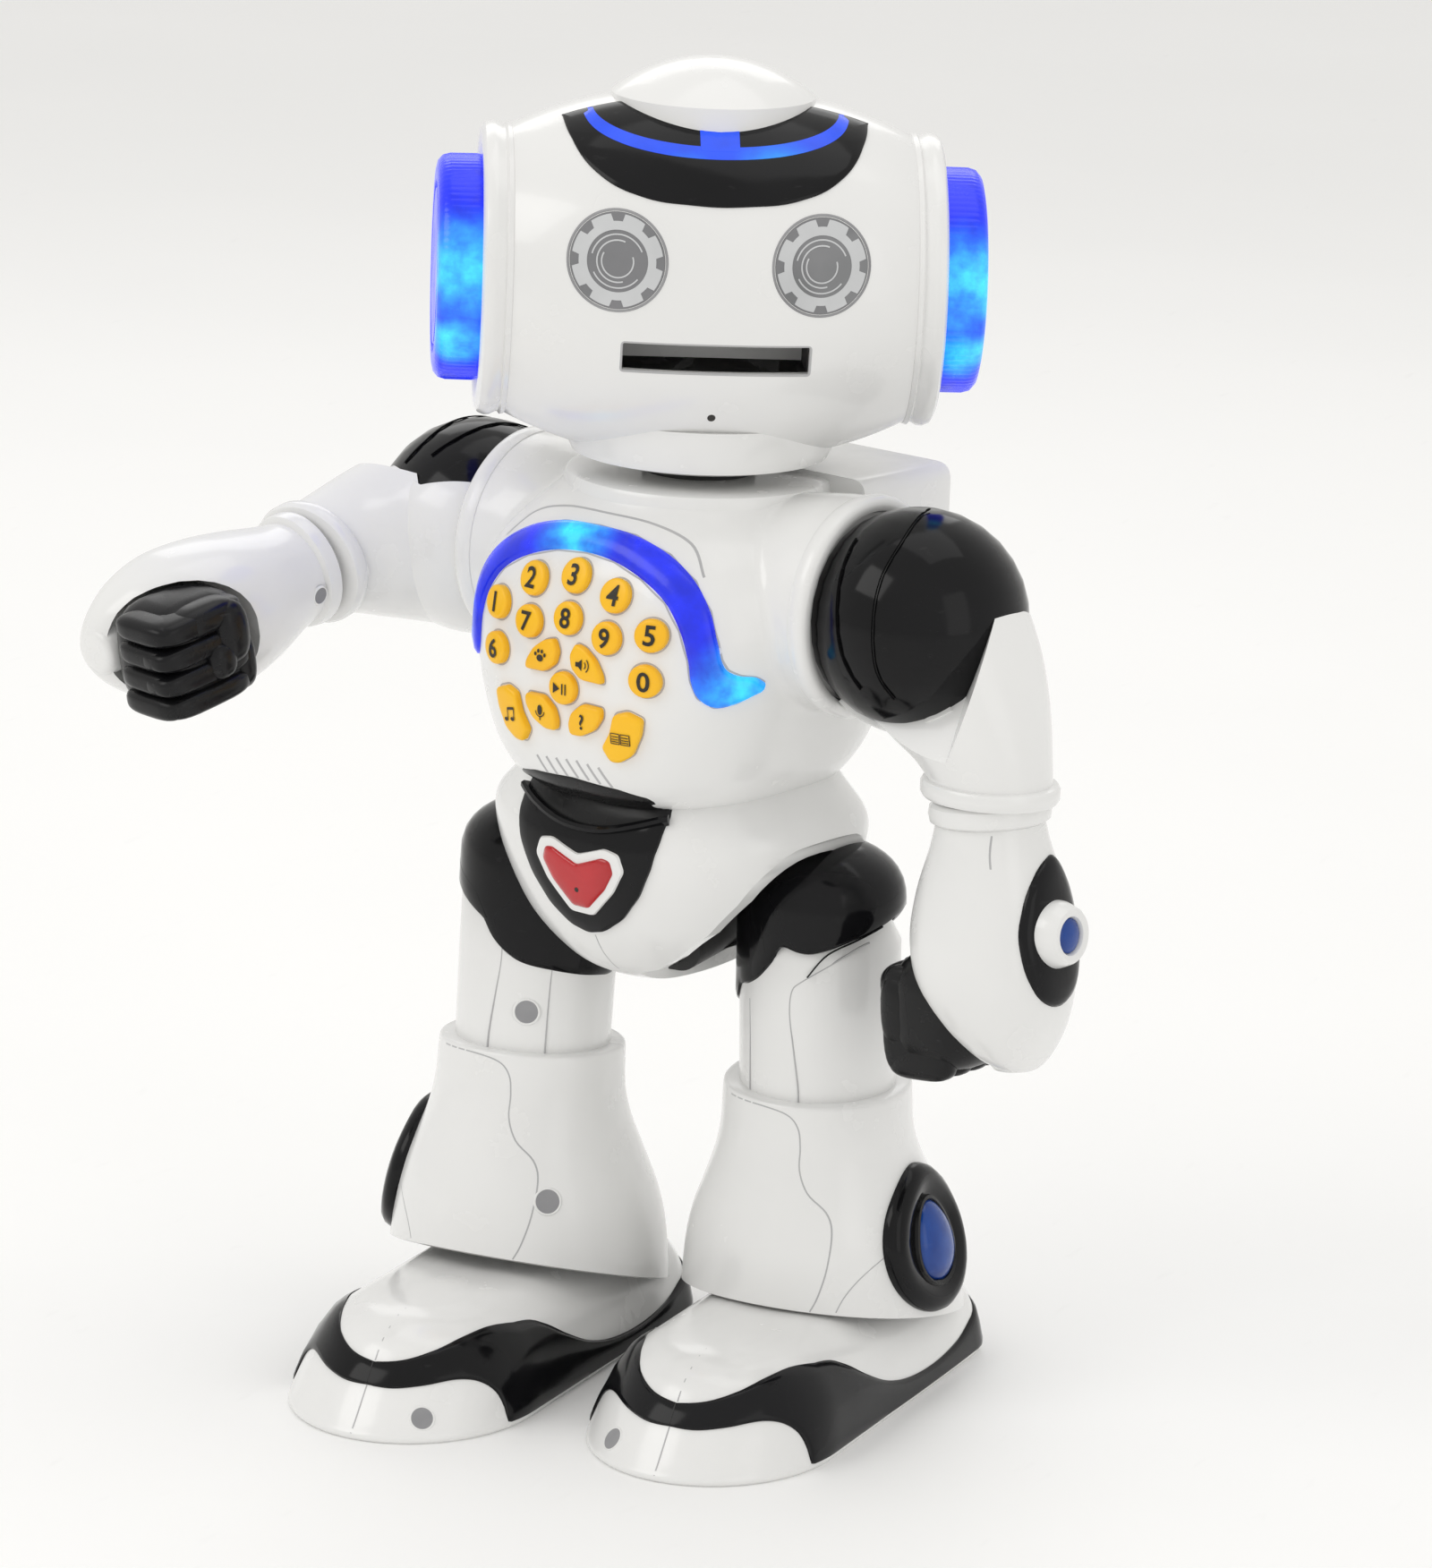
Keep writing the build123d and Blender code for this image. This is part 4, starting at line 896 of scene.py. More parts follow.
PLAY_Z = 164.3
ROUND = {
    "1": (-21.4, 15.0), "2": (-11.4, 22.0), "3": (0.0, 24.4), "4": (11.4, 22.0), "5": (21.4, 15.0),
    "6": (-20.8, 5.0), "7": (-10.9, 12.9), "8": (0.0, 15.4), "9": (10.9, 12.9), "0": (20.8, 5.0),
    "play": (0.0, 0.0),
}
UPPER = ((3.0, 10.5), (1.7, 7.8), (2.4, 4.9), (5.2, 2.8), (10.8, 2.6), (10.6, 4.5), (8.6, 7.7), (5.6, 9.9))
LOWER = ((5.4, -2.6), (10.6, -2.8), (10.6, -5.1), (8.6, -8.1), (5.0, -10.0), (2.0, -10.0), (1.6, -7.8),
         (2.4, -5.1))
OUTER = ((13.6, -3.6), (16.8, -2.5), (20.4, -3.8), (19.8, -7.5), (17.6, -12.3), (14.4, -14.4), (12.2, -14.5),
         (10.3, -11.5), (12.6, -7.7))
PETALS = {"volume": (1, UPPER), "animal": (-1, UPPER), "question": (1, LOWER), "mic": (-1, LOWER),
          "book": (1, OUTER), "music": (-1, OUTER)}
KEY_TOP = 1.75              # height of a key's top over the chest
PRINT_TOP = KEY_TOP + 0.2   # and of the print on it
KEY_SIDES = ((0.3, KEY_TOP), (0.7, KEY_TOP), (0.86, KEY_TOP - 0.05), (0.95, KEY_TOP - 0.25),
             (0.99, KEY_TOP - 0.6), (1.0, 0.0), (1.0, -1.2))


def flat(shape, polygon):
    """Printed patch on top of a key."""
    start = len(shape.points)
    shape.points += [trunk_skin.at(u, PLAY_Z + v, PRINT_TOP) for u, v in polygon]
    shape.faces.append(tuple(range(start, start + len(polygon))))
    shape.marks.append(0)


def bar(shape, a, b, half):
    """Printed stroke from a to b."""
    du, dv = b[0] - a[0], b[1] - a[1]
    length = hypot(du, dv) or 1.0
    nu, nv = -dv / length * half, du / length * half
    flat(shape, [(end[0] + nu * way, end[1] + nv * way) for end, way in ((a, 1), (b, 1), (b, -1), (a, -1))])


def arc(shape, centre, radius, start, stop, half):
    """Printed part of a circle."""
    turns = [start + (stop - start) * i / 8 for i in range(9)]
    points = [(centre[0] + radius * cos(turn), centre[1] + radius * sin(turn)) for turn in turns]
    for a, b in zip(points, points[1:]):
        bar(shape, a, b, half)


def lettered(sign, centre, height):
    """A number or question mark as flat print."""
    text = bpy.data.curves.new("sign", "FONT")
    text.body, text.size, text.offset = sign, 1.0, 0.018
    thing = bpy.data.objects.new("sign", text)
    bpy.context.scene.collection.objects.link(thing)
    bpy.context.view_layer.update()
    view = thing.evaluated_get(bpy.context.evaluated_depsgraph_get())
    mesh = view.to_mesh()
    low_x, high_x = min(v.co.x for v in mesh.vertices), max(v.co.x for v in mesh.vertices)
    low_y, high_y = min(v.co.y for v in mesh.vertices), max(v.co.y for v in mesh.vertices)
    scale = height / (high_y - low_y)
    shape = Shape()
    for vertex in mesh.vertices:
        u = centre[0] + (vertex.co.x - (low_x + high_x) / 2) * scale
        v = centre[1] + (vertex.co.y - (low_y + high_y) / 2) * scale
        shape.points.append(trunk_skin.at(u, PLAY_Z + v, PRINT_TOP))
    shape.faces = [tuple(polygon.vertices) for polygon in mesh.polygons]
    shape.marks = [0] * len(shape.faces)
    view.to_mesh_clear()
    bpy.data.objects.remove(thing, do_unlink=True)
    return shape


PAGE = (                    # strokes of one page of the book sign
    (-1.0, -1.0, 1.0, -1.0), (1.0, -1.0, 1.0, 1.3), (1.0, 1.3, -1.0, 1.3), (-1.0, 1.3, -1.0, -1.0),
    (-0.8, 0.6, 0.8, 0.6), (-0.8, 0.0, 0.8, 0.0), (-0.8, -0.5, 0.8, -0.5),
)
gaps = Shape()
for name, (u, v) in ROUND.items():
    cap = inlay(trunk_skin, oval(3.65, 3.65, (u, PLAY_Z + v), 40), KEY_SIDES, (u, PLAY_Z + v))
    piece(f"cap_{name}", cap, TORSO, [YELLOW], f"key_{name}", (f"key_{name}",))
    edging(trunk_skin, oval(3.9, 3.9, (u, PLAY_Z + v), 40), 0.3, shape=gaps)
    if name != "play":
        piece(f"print_{name}", lettered(name, (u, v), 4.3), TORSO, [INK_AND_HOLE_SHADE], f"key_{name}")
for name, (sign, outline) in PETALS.items():
    edge = rounded([(sign * u, PLAY_Z + v) for u, v in outline], 0.9, 4)
    middle = (sum(u for u, _ in edge) / len(edge), sum(v for _, v in edge) / len(edge))
    cap = inlay(trunk_skin, edge, KEY_SIDES, middle)
    piece(f"cap_{name}", cap, TORSO, [YELLOW], f"key_{name}", (f"key_{name}",))
    wider = [(middle[0] + (u - middle[0]) * 1.05, middle[1] + (v - middle[1]) * 1.05) for u, v in edge]
    edging(trunk_skin, wider, 0.28, shape=gaps)
    mu, mv = middle[0], middle[1] - PLAY_Z
    icon = Shape()
    if name == "question":
        icon = lettered("?", (mu, mv), 3.4)
    elif name == "volume":
        horn = ((-2.0, 0.5), (-1.2, 0.5), (-0.3, 1.3), (-0.3, -1.3), (-1.2, -0.5), (-2.0, -0.5))
        flat(icon, [(mu + du, mv + dv) for du, dv in horn])
        for radius in (0.9, 1.7):
            arc(icon, (mu - 0.2, mv), radius, -0.9, 0.9, 0.13)
    elif name == "animal":
        flat(icon, oval(0.9, 0.75, (mu, mv - 0.5), 16))
        for du, dv in ((-1.3, 0.3), (-0.5, 1.0), (0.5, 1.0), (1.3, 0.3)):
            flat(icon, oval(0.33, 0.45, (mu + du, mv + dv), 12))
    elif name == "mic":
        flat(icon, oval(0.65, 1.15, (mu, mv + 0.6), 18))
        arc(icon, (mu, mv + 0.3), 1.2, pi, 2 * pi, 0.12)
        bar(icon, (mu, mv - 0.9), (mu, mv - 1.7), 0.13)
    elif name == "music":
        for du, dv in ((-1.0, -1.3), (1.0, -0.9)):
            flat(icon, oval(0.62, 0.45, (mu + du, mv + dv), 14))
            bar(icon, (mu + du + 0.5, mv + dv), (mu + du + 0.5, mv + dv + 2.6), 0.11)
        bar(icon, (mu - 0.5, mv + 1.2), (mu + 1.5, mv + 1.6), 0.28)
    else:
        for du in (-1.15, 1.15):
            for u0, v0, u1, v1 in PAGE:
                bar(icon, (mu + du + u0, mv + v0), (mu + du + u1, mv + v1), 0.1)
    piece(f"print_{name}", icon, TORSO, [INK_AND_HOLE_SHADE], f"key_{name}")
play = Shape()
flat(play, [(-2.0, 1.2), (-0.2, 0.0), (-2.0, -1.2)])
bar(play, (0.5, 1.2), (0.5, -1.2), 0.17)
bar(play, (1.4, 1.2), (1.4, -1.2), 0.17)
piece("print_play", play, TORSO, [INK_AND_HOLE_SHADE], "key_play")
on_torso("key_gaps", gaps, SEAM)

slots = Shape()
for i in range(7):
    u = -9.6 + 2.95 * i
    top, low = 147.9 - abs(u - 2.0) * 0.09, 143.8 - abs(u - 1.0) * 0.12
    strip(trunk_skin, [(u + 2.6 * k / 6, top + (low - top) * k / 6, 0.55) for k in range(7)],
          ((-1.0, -0.2), (-0.7, 0.05), (0.4, 0.04), (1.0, -0.2)), shape=slots)
on_torso("speaker_slots", slots, SEAM)
collar = turned(((29.6, 190.0), (29.9, 199.0), (29.8, 205.6), (29.2, 206.6), (28.0, 207.0), (18.0, 207.0)),
                None, 112)
on_torso("neck_collar", collar, WHITE)
FOLD = [(-28.0, 192.0), (-22.0, 198.0), (-12.0, 201.0), (0.0, 201.6), (12.0, 201.0), (22.0, 198.0),
        (28.0, 192.0)]
on_torso("collar_fold", seam(trunk_skin, FOLD, 0.3), SEAM)

# ================================================================ belly
HALF_BELLY = ((20.2, 135.6), (20.0, 131.0), (18.6, 125.0), (15.4, 118.0), (10.4, 111.6), (5.0, 107.7),
              (0.0, 106.4))
LIP = ((-20.2, 135.6), (-13.0, 133.2), (-6.0, 131.4), (0.0, 130.9), (6.0, 131.4), (13.0, 133.2),
       (20.2, 135.6))
outline = rounded([(u, v + 1.2) for u, v in LIP] + list(HALF_BELLY[1:])
                  + [(-u, v) for u, v in HALF_BELLY[-2:0:-1]], 1.4, 4)
belly = inlay(hips_skin, outline, [(i / 10, 1.0) for i in range(1, 9)]
              + [(0.93, 0.95), (0.98, 0.7), (1.0, -0.6)], (0, 122.0))
on_torso("belly_plate", belly, BLACK, ("belly_panel",))
belly_skin = Skin(belly, FRONT)
upper = rounded([(-20.8, 135.2), (-13.0, 133.2), (0.0, 131.0), (13.0, 133.2), (20.8, 135.2), (19.6, 140.8),
                 (0.0, 141.1), (-19.6, 140.8)], 1.2, 4)
belly_top = inlay(hips_skin, upper, ((0.3, 0.9), (0.6, 0.9), (0.85, 0.8), (0.95, 0.6), (1.0, -0.4)),
                  (0, 136.5))
on_torso("belly_top", belly_top, SATIN_BLACK)
arch_edge = rounded([(-20.6, 136.6), (20.6, 136.6), (18.6, 141.2), (12.0, 142.7), (0.0, 143.5),
                     (-12.0, 142.7), (-18.6, 141.2)], 1.0, 4)
notch = inlay(trunk_skin, arch_edge, [(i / 10, 0.25) for i in range(2, 10)] + [(0.98, 0.15), (1.0, -0.4)],
              (0, 139.8))
on_torso("waist_notch", notch, SATIN_BLACK)
lip_path = [(u, v, 1.1) for u, v in spline([(u, v + 0.2) for u, v in LIP], 6)]
belly_lip = strip(hips_skin, lip_path, ((-1.0, 0.2), (-0.6, 1.9), (0.0, 2.3), (0.6, 1.9), (1.0, 0.2)))
on_torso("belly_lip", belly_lip, BLACK)
BEZEL = ((-11.4, 127.4), (-7.6, 128.2), (0.0, 125.6), (7.6, 128.2), (11.4, 127.4), (12.8, 123.6),
         (9.6, 118.0), (3.2, 111.2), (-3.2, 111.2), (-9.6, 118.0), (-12.8, 123.6))
WINDOW = ((-9.4, 125.6), (-7.2, 126.0), (0.0, 123.2), (7.2, 126.0), (9.4, 125.6), (10.2, 122.8),
          (7.6, 118.4), (2.2, 112.9), (-2.2, 112.9), (-7.6, 118.4), (-10.2, 122.8))
bezel_profile = ((0.4, 0.55), (0.7, 0.55), (0.86, 0.6), (0.95, 0.5), (1.0, -0.3))
bezel = inlay(belly_skin, rounded(BEZEL, 1.0, 4), bezel_profile, (0, 120.4))
on_torso("window_bezel", bezel, WHITE)
window = inlay(Skin(bezel, FRONT), rounded(WINDOW, 0.8, 4),
               ((0.4, 0.75), (0.78, 0.72), (0.9, 0.5), (0.97, 0.2), (1.0, -0.3)), (0, 120.2))
on_torso("red_window", window, RED, ("ir_window",))
lamp = (0.0, 117.2)
window_eye = inlay(Skin(window, FRONT), oval(0.6, 0.6, lamp, 20), ((0.5, 0.06), (0.9, 0.06), (1.0, -0.05)),
                   lamp)
on_torso("window_eye", window_eye, INK_AND_HOLE_SHADE)
on_torso("pelvis_seam", seam(hips_skin, [(1.2, 106.0), (1.8, 102.0), (3.4, 97.4)]), SEAM)


class Around:
    """Surface given as a function of (u, v); u grows toward +x as seen from the front, v upward."""

    def __init__(self, form, du=0.05, dv=0.05):
        self.form, self.du, self.dv = form, du, dv

    def at(self, u, v, lift=0.0):
        point = Vector(self.form(u, v))
        across = Vector(self.form(u + self.du, v)) - Vector(self.form(u - self.du, v))
        up = Vector(self.form(u, v + self.dv)) - Vector(self.form(u, v - self.dv))
        normal = across.cross(up)
        return point + (normal.normalized() * lift if normal.length > 1e-9 else Vector())


def curve(stops):
    """Smooth height along a list of (position, value) stops."""
    dense = spline(stops, 12)

    def value(t):
        if t <= dense[0][0]:
            return dense[0][1]
        for a, b in zip(dense, dense[1:]):
            if t <= b[0]:
                return a[1] + (b[1] - a[1]) * (t - a[0]) / max(1e-9, b[0] - a[0])
        return dense[-1][1]
    return value


def spot(position, normal, radius):
    """Screw recess facing along a normal: a middle of painted shade and a pale rim."""
    place = Matrix.Translation(position) @ Vector(normal).to_track_quat("Z", "Y").to_matrix().to_4x4()
    shape = Shape().lathe(((0.02, 0.02), (radius * 0.6, 0.03), (radius * 0.97, 0.05)), place, 40, 0)
    rim = ((radius * 0.97, 0.05), (radius, 0.16), (radius * 1.1, 0.14), (radius * 1.22, -0.3))
    return shape.join(Shape().lathe(rim, place, 40, 1))


def spot_on(skin, u, v, radius):
    """Screw recess in a surface, at a drawn point."""
    at = skin.at(u, v, 0.0)
    return spot(at, skin.at(u, v, 1.0) - at, radius)


# ================================================================ feet: band, seams, toe screw
def foot_point(k, z):
    """Point on the foot at k steps round from the toe tip (60 steps to the heel) and height z."""
    index = (24 + k) % 120
    low = int(index)
    share = index - low
    for (z0, ring0), (z1, ring1) in zip(foot_levels, foot_levels[1:]):
        if z <= z1 or ring1 is foot_levels[-1][1]:
            t = (z - z0) / (z1 - z0)
            a = ring0[low].lerp(ring0[(low + 1) % 120], share)
            b = ring1[low].lerp(ring1[(low + 1) % 120], share)
            return a.lerp(b, t)


foot_skin = Around(foot_point, 0.3, 0.15)
BAND_TOP = curve([(0, 15.0), (4, 15.9), (8.5, 17.8), (12.7, 19.5), (17.3, 20.4), (21, 20.3), (25.4, 19.0),
                  (27.4, 16.6), (29.8, 12.4), (32.9, 8.4), (36.7, 5.9), (41, 5.2), (45, 6.4), (48, 9.2),
                  (50, 10.6), (53, 12.4), (56, 13.4), (60, 14.0)])
BAND_LOW = curve([(0, 10.6), (3.4, 10.5), (7.2, 11.2), (11.0, 12.0), (13.6, 11.6), (15.6, 10.2), (17.2, 8.0),
                  (18.4, 5.0), (19.1, 2.6), (19.8, 1.5), (24.0, 1.3), (60, 1.3)])
band_profile = ((0.0, -0.5), (0.015, 0.3), (0.06, 0.62), (0.16, 0.72), (0.6, 0.72), (0.86, 0.68),
                (0.94, 0.5), (0.985, 0.25), (1.0, -0.5))
band_rows = []
for k in [step / 2 for step in range(-120, 121)]:
    low, top = BAND_LOW(abs(k)), BAND_TOP(abs(k))
    band_rows.append([foot_skin.at(k, low + (top - low) * share, lift) for share, lift in band_profile])
band_shape = Shape().rows(band_rows, False)
toe_seam = strip(foot_skin, [(0.0, z, 0.16) for z in (1.5, 4, 7, 10, 10.6)], LINE)
strip(foot_skin, [(0.0, z, 0.16) for z in (15.2, 17, 19, 21, 22.6, 23.2)], LINE, shape=toe_seam)
band_seam = strip(foot_skin, [(0.0, z, 0.14) for z in (10.9, 12.5, 14.7)],
                  ((-1.0, 0.5), (-0.6, 0.78), (0.6, 0.78), (1.0, 0.5)))
pair("sole_band", band_shape, FOOT, [BLACK], "foot", "foot_band")
pair("toe_seam", toe_seam, FOOT, [SEAM], "foot")
pair("band_seam", band_seam, FOOT, [SATIN_BLACK], "foot")
pair("toe_screw", spot_on(foot_skin, -8.0, 5.2, 2.5), FOOT, [RECESS_SHADE, WHITE], "foot")

# ================================================================ legs: hip covers, seams, screws, badges
thigh_skin = Around(lambda u, v: (THIGH_R * sin(u / THIGH_R), -THIGH_R * cos(u / THIGH_R), v))
COVER_EDGES = {             # lower edge of each hip cover: (way round the thigh from the front, height)
    "right": curve([(-57.0, 92.0), (-44.0, 90.0), (-33.0, 88.4), (-28.0, 88.0), (-24.6, 88.3), (-18.6, 89.0),
                    (-11.6, 90.2), (-4.4, 91.6), (0.0, 93.8), (3.0, 96.4), (4.6, 98.6),
                    (5.8, 100.2), (8.2, 101.4), (12.0, 103.0), (16.0, 104.4), (22.0, 106.6), (28.0, 108.4),
                    (34.0, 109.0), (44.0, 104.0), (57.0, 92.0)]),
    "left": curve([(-57.0, 94.0), (-44.0, 91.0), (-33.0, 88.6), (-25.0, 87.6), (-20.4, 89.6), (-17.6, 92.4),
                   (-15.9, 94.4), (-12.0, 95.8), (-8.5, 98.0), (-5.9, 100.6), (-3.6, 103.6), (-2.6, 106.0),
                   (-1.0, 107.0), (2.0, 106.2), (5.0, 106.0), (9.0, 107.0), (14.0, 108.8), (20.0, 110.6),
                   (28.0, 112.2), (36.0, 111.6), (46.0, 104.0), (57.0, 94.0)]),
}
COVER_R, COVER_TOP = 18.9, 127.2


def cap_point(u, v):
    """Hip cover: a sleeve just outside the thigh that closes into a dome."""
    reach = COVER_R if v <= 114.0 else COVER_R * max(0.02, 1 - ((v - 114.0) / 13.4) ** 2.3) ** 0.5
    return (reach * sin(u / THIGH_R), -reach * cos(u / THIGH_R), v)


def hip_cover(edge):
    """The cover from its wavy lower edge, turned in a little, to the closed top."""
    rows = []
    for share in (0.0, 0.02, 0.06, 0.16, 0.3, 0.45, 0.6, 0.7, 0.78, 0.85, 0.9, 0.94, 0.97, 0.99, 1.0):
        row = []
        for i in range(120):
            u = -56.5487 + 113.0973 * i / 120       # once round the thigh
            low = edge(u)
            point = Vector(cap_point(u, low + (COVER_TOP - low) * share))
            if share < 0.05:
                shrink = (COVER_R - (1.2 if share == 0.0 else 0.35)) / COVER_R
                point = Vector((point.x * shrink, point.y * shrink, point.z))
            row.append(point)
        rows.append(row)
    return Shape().rows(rows, cap_end=True)


cap_skin = Around(cap_point)
cover_seams = seam(cap_skin, [(-6.8, 111.0), (-6.2, 108.0), (-5.6, 105.0)], 0.2, 5)
seam(cap_skin, [(4.6, 101.0), (9.0, 106.5), (16.0, 109.6), (22.0, 111.4)], 0.2, 5, cover_seams)
THIGH_LINE = [(19.0, 108.0), (15.6, 107.0), (9.4, 103.6), (3.0, 99.4), (1.0, 97.0), (0.6, 91.8), (1.6, 84.0),
              (2.8, 75.0), (3.0, 70.0)]
thigh_seams = seam(thigh_skin, THIGH_LINE, 0.22, 5)
seam(thigh_skin, [(-11.4, 92.6), (-11.0, 84.0), (-10.8, 70.0)], 0.2, 5, thigh_seams)
THIGH_SCREW = Vector((-6.0, -17.0, 0.0))    # direction from the thigh's axis
thigh_spot = spot(thigh_skin.at(THIGH_R * atan2(THIGH_SCREW.x, -THIGH_SCREW.y), 80.6, 0.0), THIGH_SCREW, 2.7)

cuff_mesh = Skin(cuff_form, FRONT)
CUFF_LINE = [(-14.0, 70.0), (-4.8, 70.2), (1.6, 69.2), (4.4, 66.4), (5.2, 62.0), (5.6, 57.0), (8.0, 52.2),
             (12.4, 48.2), (14.2, 43.6), (14.0, 36.0), (12.4, 29.4), (10.8, 25.8)]
cuff_lines = {"left": seam(cuff_mesh, CUFF_LINE, 0.26, 5),
              "right": seam(cuff_mesh, [(-u, v) for u, v in CUFF_LINE], 0.26, 5)}
cuff_side = Skin(cuff_form, OUTER_SIDE)
for lines in cuff_lines.values():
    seam(cuff_mesh, [(24.6, 38.0), (20.4, 33.4), (17.4, 28.8), (15.6, 24.2)], 0.2, 5, lines)
BADGE_AT = (0.8, 36.8)


def badge_oval(radius_u, radius_v, lean, count):
    """Oval round the shin badge that is narrower toward the top."""
    turns = [2 * pi * i / count for i in range(count)]
    return [(BADGE_AT[0] + radius_u * cos(t) * (1.0 - lean * sin(t)), BADGE_AT[1] + radius_v * sin(t))
            for t in turns]


BADGE = [(0.5 + 16.2 * cos(t) * (1.0 - 0.10 * max(0.0, sin(t)) ** 2),
          36.8 + (16.2 + max(0.0, sin(t)) ** 6) * sin(t))
         for t in [2 * pi * i / 80 for i in range(80)]]
badge_ring = inlay(cuff_side, BADGE, ((0.3, 0.9), (0.56, 0.95), (0.62, 1.5), (0.72, 2.6), (0.80, 3.0),
                                      (0.88, 2.8), (0.95, 2.0), (0.99, 0.8), (1.0, -0.6)), BADGE_AT)
badge_skin = Skin(badge_ring, OUTER_SIDE)
gem = inlay(badge_skin, badge_oval(7.6, 9.0, 0.14, 56),
            ((0.2, 2.6), (0.45, 2.3), (0.7, 1.7), (0.88, 1.0), (0.97, 0.4), (1.0, -0.4)), BADGE_AT)
gem_edge = edging(badge_skin, badge_oval(8.1, 9.5, 0.14, 56), 0.7,
                  ((-1.0, 0.0), (-0.5, 0.7), (0.5, 0.7), (1.0, 0.0)))
hip_caps = {side: hip_cover(edge) for side, edge in COVER_EDGES.items()}
pair("hip_cap", hip_caps, LEG, [BLACK], "leg", "hip_cover")
pair("cap_seams", cover_seams, LEG, [SATIN_BLACK], "leg")
pair("thigh_seams", thigh_seams, LEG, [SEAM], "leg")
pair("cuff_lines", cuff_lines, LEG, [SEAM], "leg")
pair("badge_ring", badge_ring, LEG, [BLACK], "leg", "shin_badge")
pair("badge_edge", gem_edge, LEG, [SATIN_BLACK], "leg")
pair("badge_gem", gem, LEG, [GEM], "leg")
piece("right_thigh_screw", thigh_spot, LEG["right"], [RECESS_SHADE, WHITE], "right_leg")
piece("right_cuff_screw", spot_on(cuff_mesh, -16.7, 39.4, 2.8), LEG["right"], [RECESS_SHADE, WHITE], "right_leg")

# ================================================================ arms: white underside, seams, screws
arm_ball = Around(lambda u, v: ARM_CENTRE + ARM_R * Vector((sin(v), -cos(v) * sin(u), -cos(v) * cos(u))),
                  0.01, 0.01)


def ball_line(points):
    """Parting line on the shoulder ball through points near it."""
    path = []
    for point in spline(points, 6):
        away = (Vector(point) - ARM_CENTRE).normalized()
        path.append((atan2(-away.y, -away.z), asin(away.x), 0.011))
    return strip(arm_ball, path, LINE)


dome_seams = ball_line([(13.5, 0.8, 23.8), (16.9, -12.8, 20.2), (17.0, -20.4, 12.2), (17.8, -23.4, 2.9),
                        (18.6, -22.2, -7.1), (20.6, -18.0, -13.0)])
dome_seams.join(ball_line([(5.2, -14.0, 18.6), (5.8, -17.9, 14.9), (7.9, -23.2, 5.2), (10.3, -23.6, -5.1),
                           (13.6, -20.9, -12.0)]))


UNDER_PROFILE = [(0.0, -0.6), (0.0, 0.45)] + [(k / 24, 0.7) for k in range(1, 24)] + [(1.0, 0.45),
                                                                                      (1.0, -0.6)]


def underarm(reach):
    """White underside of the shoulder; reach is how many degrees it goes round to the front."""
    rows = []
    for i in range(29):
        tilt = -0.50 + 1.25 * i / 28
        front, back = radians(reach + 11.0 * min(1.0, abs(sin(tilt)) * 2.0)), radians(66.0)
        row = []
        for share, lift in UNDER_PROFILE:
            turn = front + (-back - front) * share
            reached = ARM_R + lift + 0.6 * max(0.0, cos((turn - 0.1) * 2.0))
            away = Vector((sin(tilt), -cos(tilt) * sin(turn), -cos(tilt) * cos(turn)))
            row.append(ARM_CENTRE + reached * away)
        rows.append(row)
    return Shape().rows(rows, False)


under_edge = strip(arm_ball, [(0.69 - 1.7 * i / 30, -0.02, 0.012) for i in range(31)],
                   ((-1.0, 0.9), (-0.5, 1.25), (0.5, 1.25), (1.0, 0.9)))


def trimmed(reach):
    """Sleeve without the part over the black front, which starts at an angle from straight down."""
    n = Vector((0.743, 0.603, -0.29)).normalized()
    m = Vector((0.0, -cos(radians(reach)), sin(radians(reach))))
    axis = n.cross(m).normalized()
    a, b = (m - n * m.dot(n)).normalized(), -(n - m * m.dot(n)).normalized()
    edge = (n - m * n.dot(m)).normalized()
    corner = ARM_CENTRE + edge * (13.6 / edge.dot(n))
    wedge = [[corner + axis * s, corner + a * 80 + axis * s, corner + b * 80 + axis * s] for s in (-70, 70)]
    return cut(sleeve, solid(wedge))


SLEEVES = {"left": trimmed(30.0), "right": trimmed(48.0)}
sleeve_screw = spot_on(Skin(SLEEVES["right"], (0, 0, 1)), -21.4, 0.0, 2.5)
pair("sleeve", SLEEVES, ARM, [WHITE], "arm", "upper_arm")
pair("dome_seams", dome_seams, ARM, [SATIN_BLACK], "arm")
pair("underarm", {"left": underarm(20.0), "right": underarm(42.0)}, ARM, [WHITE], "arm")
pair("underarm_edge", under_edge, ARM, [WHITE], "arm")
pair("sleeve_screw", sleeve_screw, ARM, [RECESS_SHADE, WHITE], "arm")

# ================================================================ hands: badge, boss, gem, nub and fist
glove_side = Skin(glove_form, OUTER_SIDE)
HAND_BADGE = rounded([(4.6, -11.4), (-1.6, -13.2), (-7.0, -18.6), (-10.2, -27.0), (-9.6, -36.0),
                      (-6.2, -42.4), (0.0, -45.4), (6.2, -43.2), (9.8, -36.8), (10.8, -28.0),
                      (9.6, -19.6), (7.4, -14.2)], 3.4, 5)
hand_badge = inlay(glove_side, HAND_BADGE, ((0.1, 1.0), (0.3, 1.1), (0.5, 1.25), (0.7, 1.35), (0.84, 1.3),
                                            (0.93, 0.95), (0.98, 0.4), (1.0, -0.5)), (0.3, -28.5))
boss_place = outward(1, glove_side.at(0.0, -28.5, 0.0))
boss = Shape().lathe(((7.6, -1.0), (7.4, 1.6), (6.9, 3.0), (6.3, 4.5), (5.9, 5.0), (5.2, 5.1), (4.3, 4.7),
                      (3.9, 3.9), (3.8, 3.0)), boss_place, 64)
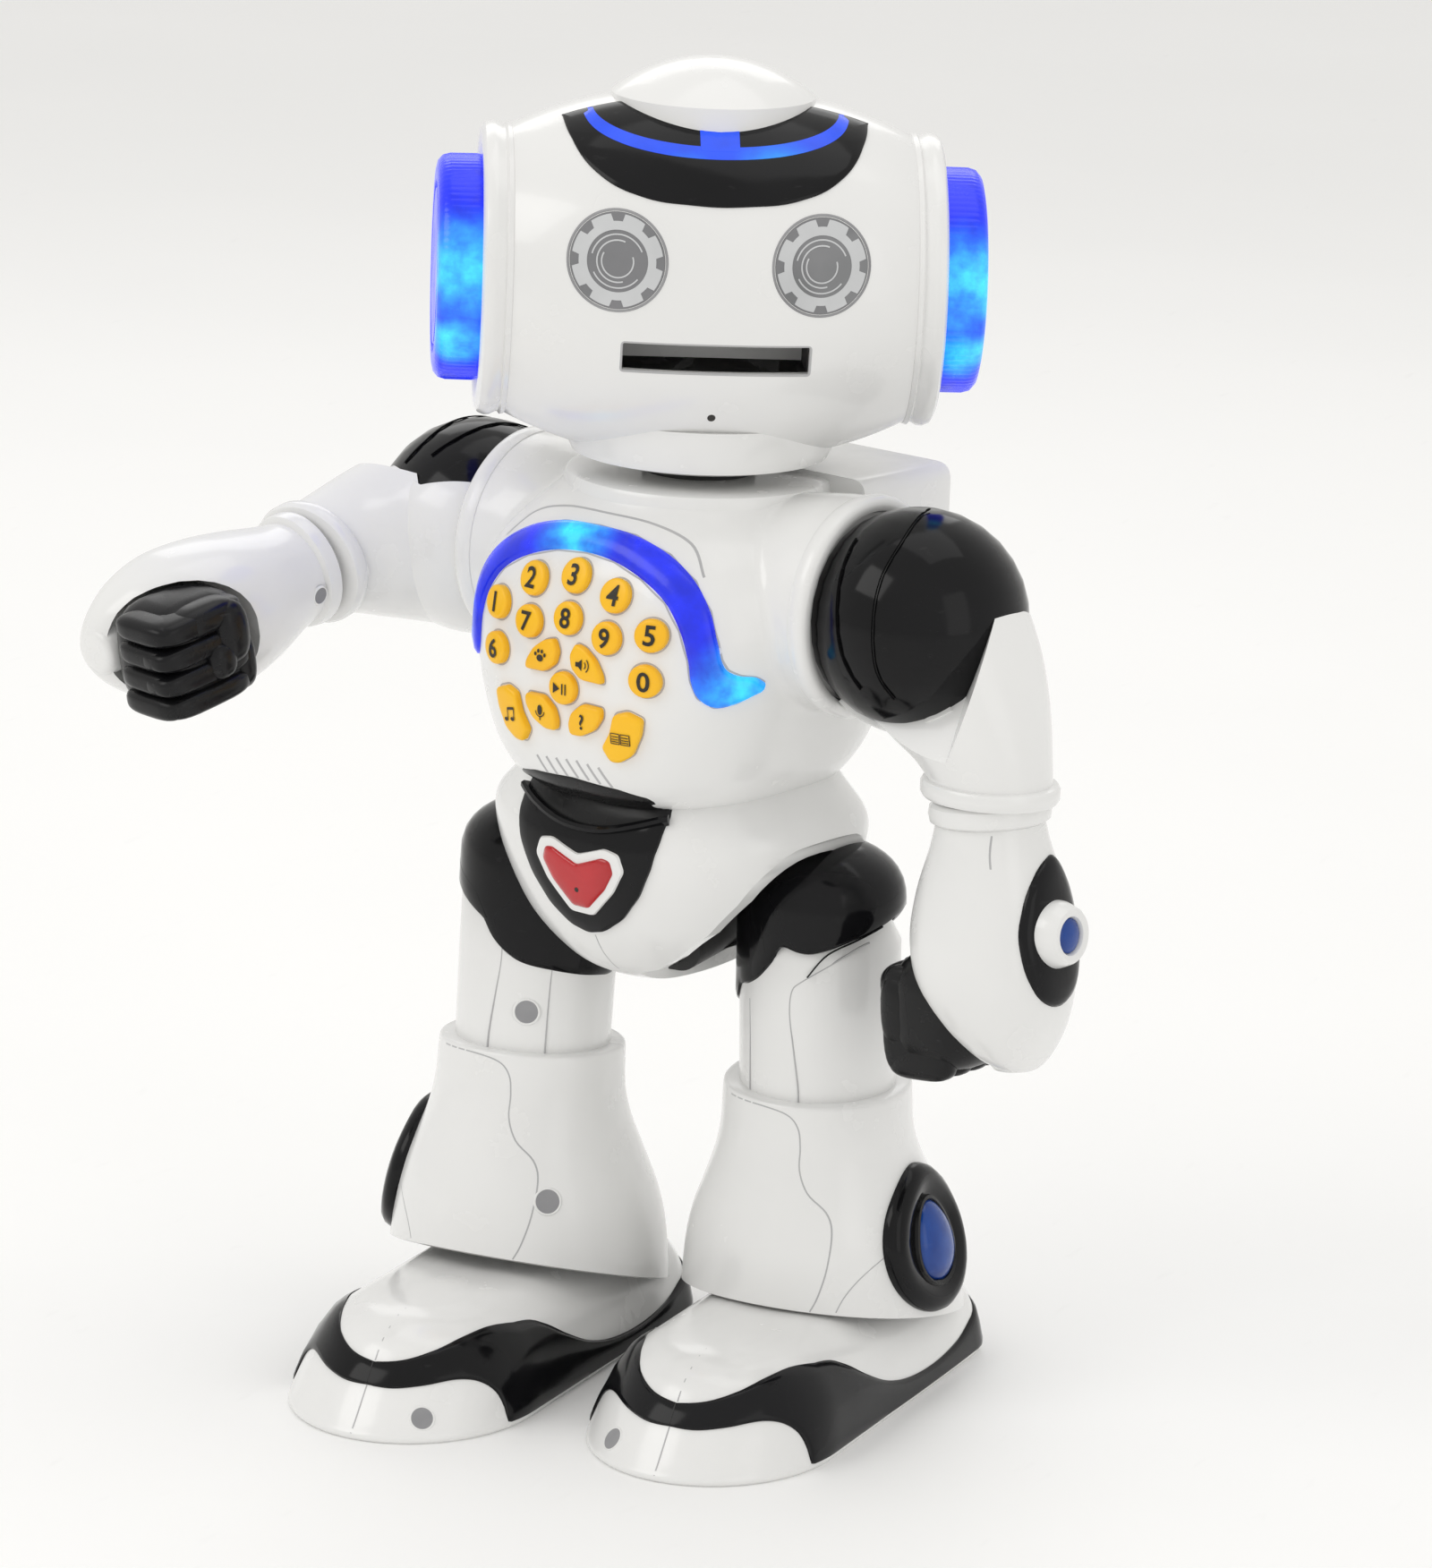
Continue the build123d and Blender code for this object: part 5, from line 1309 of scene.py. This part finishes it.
gem_hand = Shape().lathe(((3.85, 3.0), (3.8, 4.0), (3.3, 4.4), (2.2, 4.75), (1.0, 4.9), (0.05, 4.95)),
                         boss_place, 48)
nub = Shape().lathe(((0.1, -59.85), (3.6, -59.8), (4.8, -59.4), (5.4, -58.6), (5.6, -57.4), (5.7, -50.0)),
                    Matrix.Translation((4.4, 0.0, 0.0)), 56)
wrist_spot = spot((-12.9, 1.7, -7.6), (-1.0, 0.1, 0.05), 1.9)
glove_seam = seam(glove_side, [(-9.6, -6.0), (-10.6, -10.0), (-11.2, -13.0)], 0.2)


def knuckles():
    """Closed fist: four stacked fingers, a thumb across them and the palm block."""
    shape = Shape()
    base = Vector((-12.0, -0.5, -48.2))
    shape.ball(base + Vector((1.0, 0.0, 1.0)), (11.0, 12.9, 13.2), 3.4, count=40)
    for y, reach in ((-9.0, 12.2), (-3.2, 13.2), (2.7, 13.2), (8.5, 12.0)):
        shape.ball(base + Vector((-5.8, y, -1.0)), (5.4, 2.95, reach), 3.6, count=36)
        shape.ball(base + Vector((-1.6, y, -9.6)), (8.6, 2.9, 4.4), 3.2)
    for at, radii, power in (((-8.4, -4.0, 6.4), (4.6, 7.6, 4.6), 2.6),
                             ((-9.4, 1.0, 2.4), (3.4, 4.6, 4.0), 2.5),
                             ((-7.0, -9.0, 1.0), (4.6, 3.6, 9.0), 2.6),
                             ((-4.6, 4.6, 10.4), (5.6, 7.4, 3.4), 2.8)):
        shape.ball(base + Vector(at), radii, power)
    return shape


pair("hand_badge", hand_badge, HAND, [BLACK], "hand", "forearm_badge")
pair("hand_boss", boss, HAND, [WHITE], "hand")
pair("hand_gem", gem_hand, HAND, [GEM], "hand")
pair("hand_nub", nub, HAND, [WHITE], "hand")
pair("wrist_screw", wrist_spot, HAND, [RECESS_SHADE, WHITE], "hand")
pair("glove_seam", glove_seam, HAND, [SEAM], "hand")
pair("knuckles", knuckles(), HAND, [SATIN_BLACK], "hand", "fist")

# ================================================================ the scene
make_camera()
make_stage()
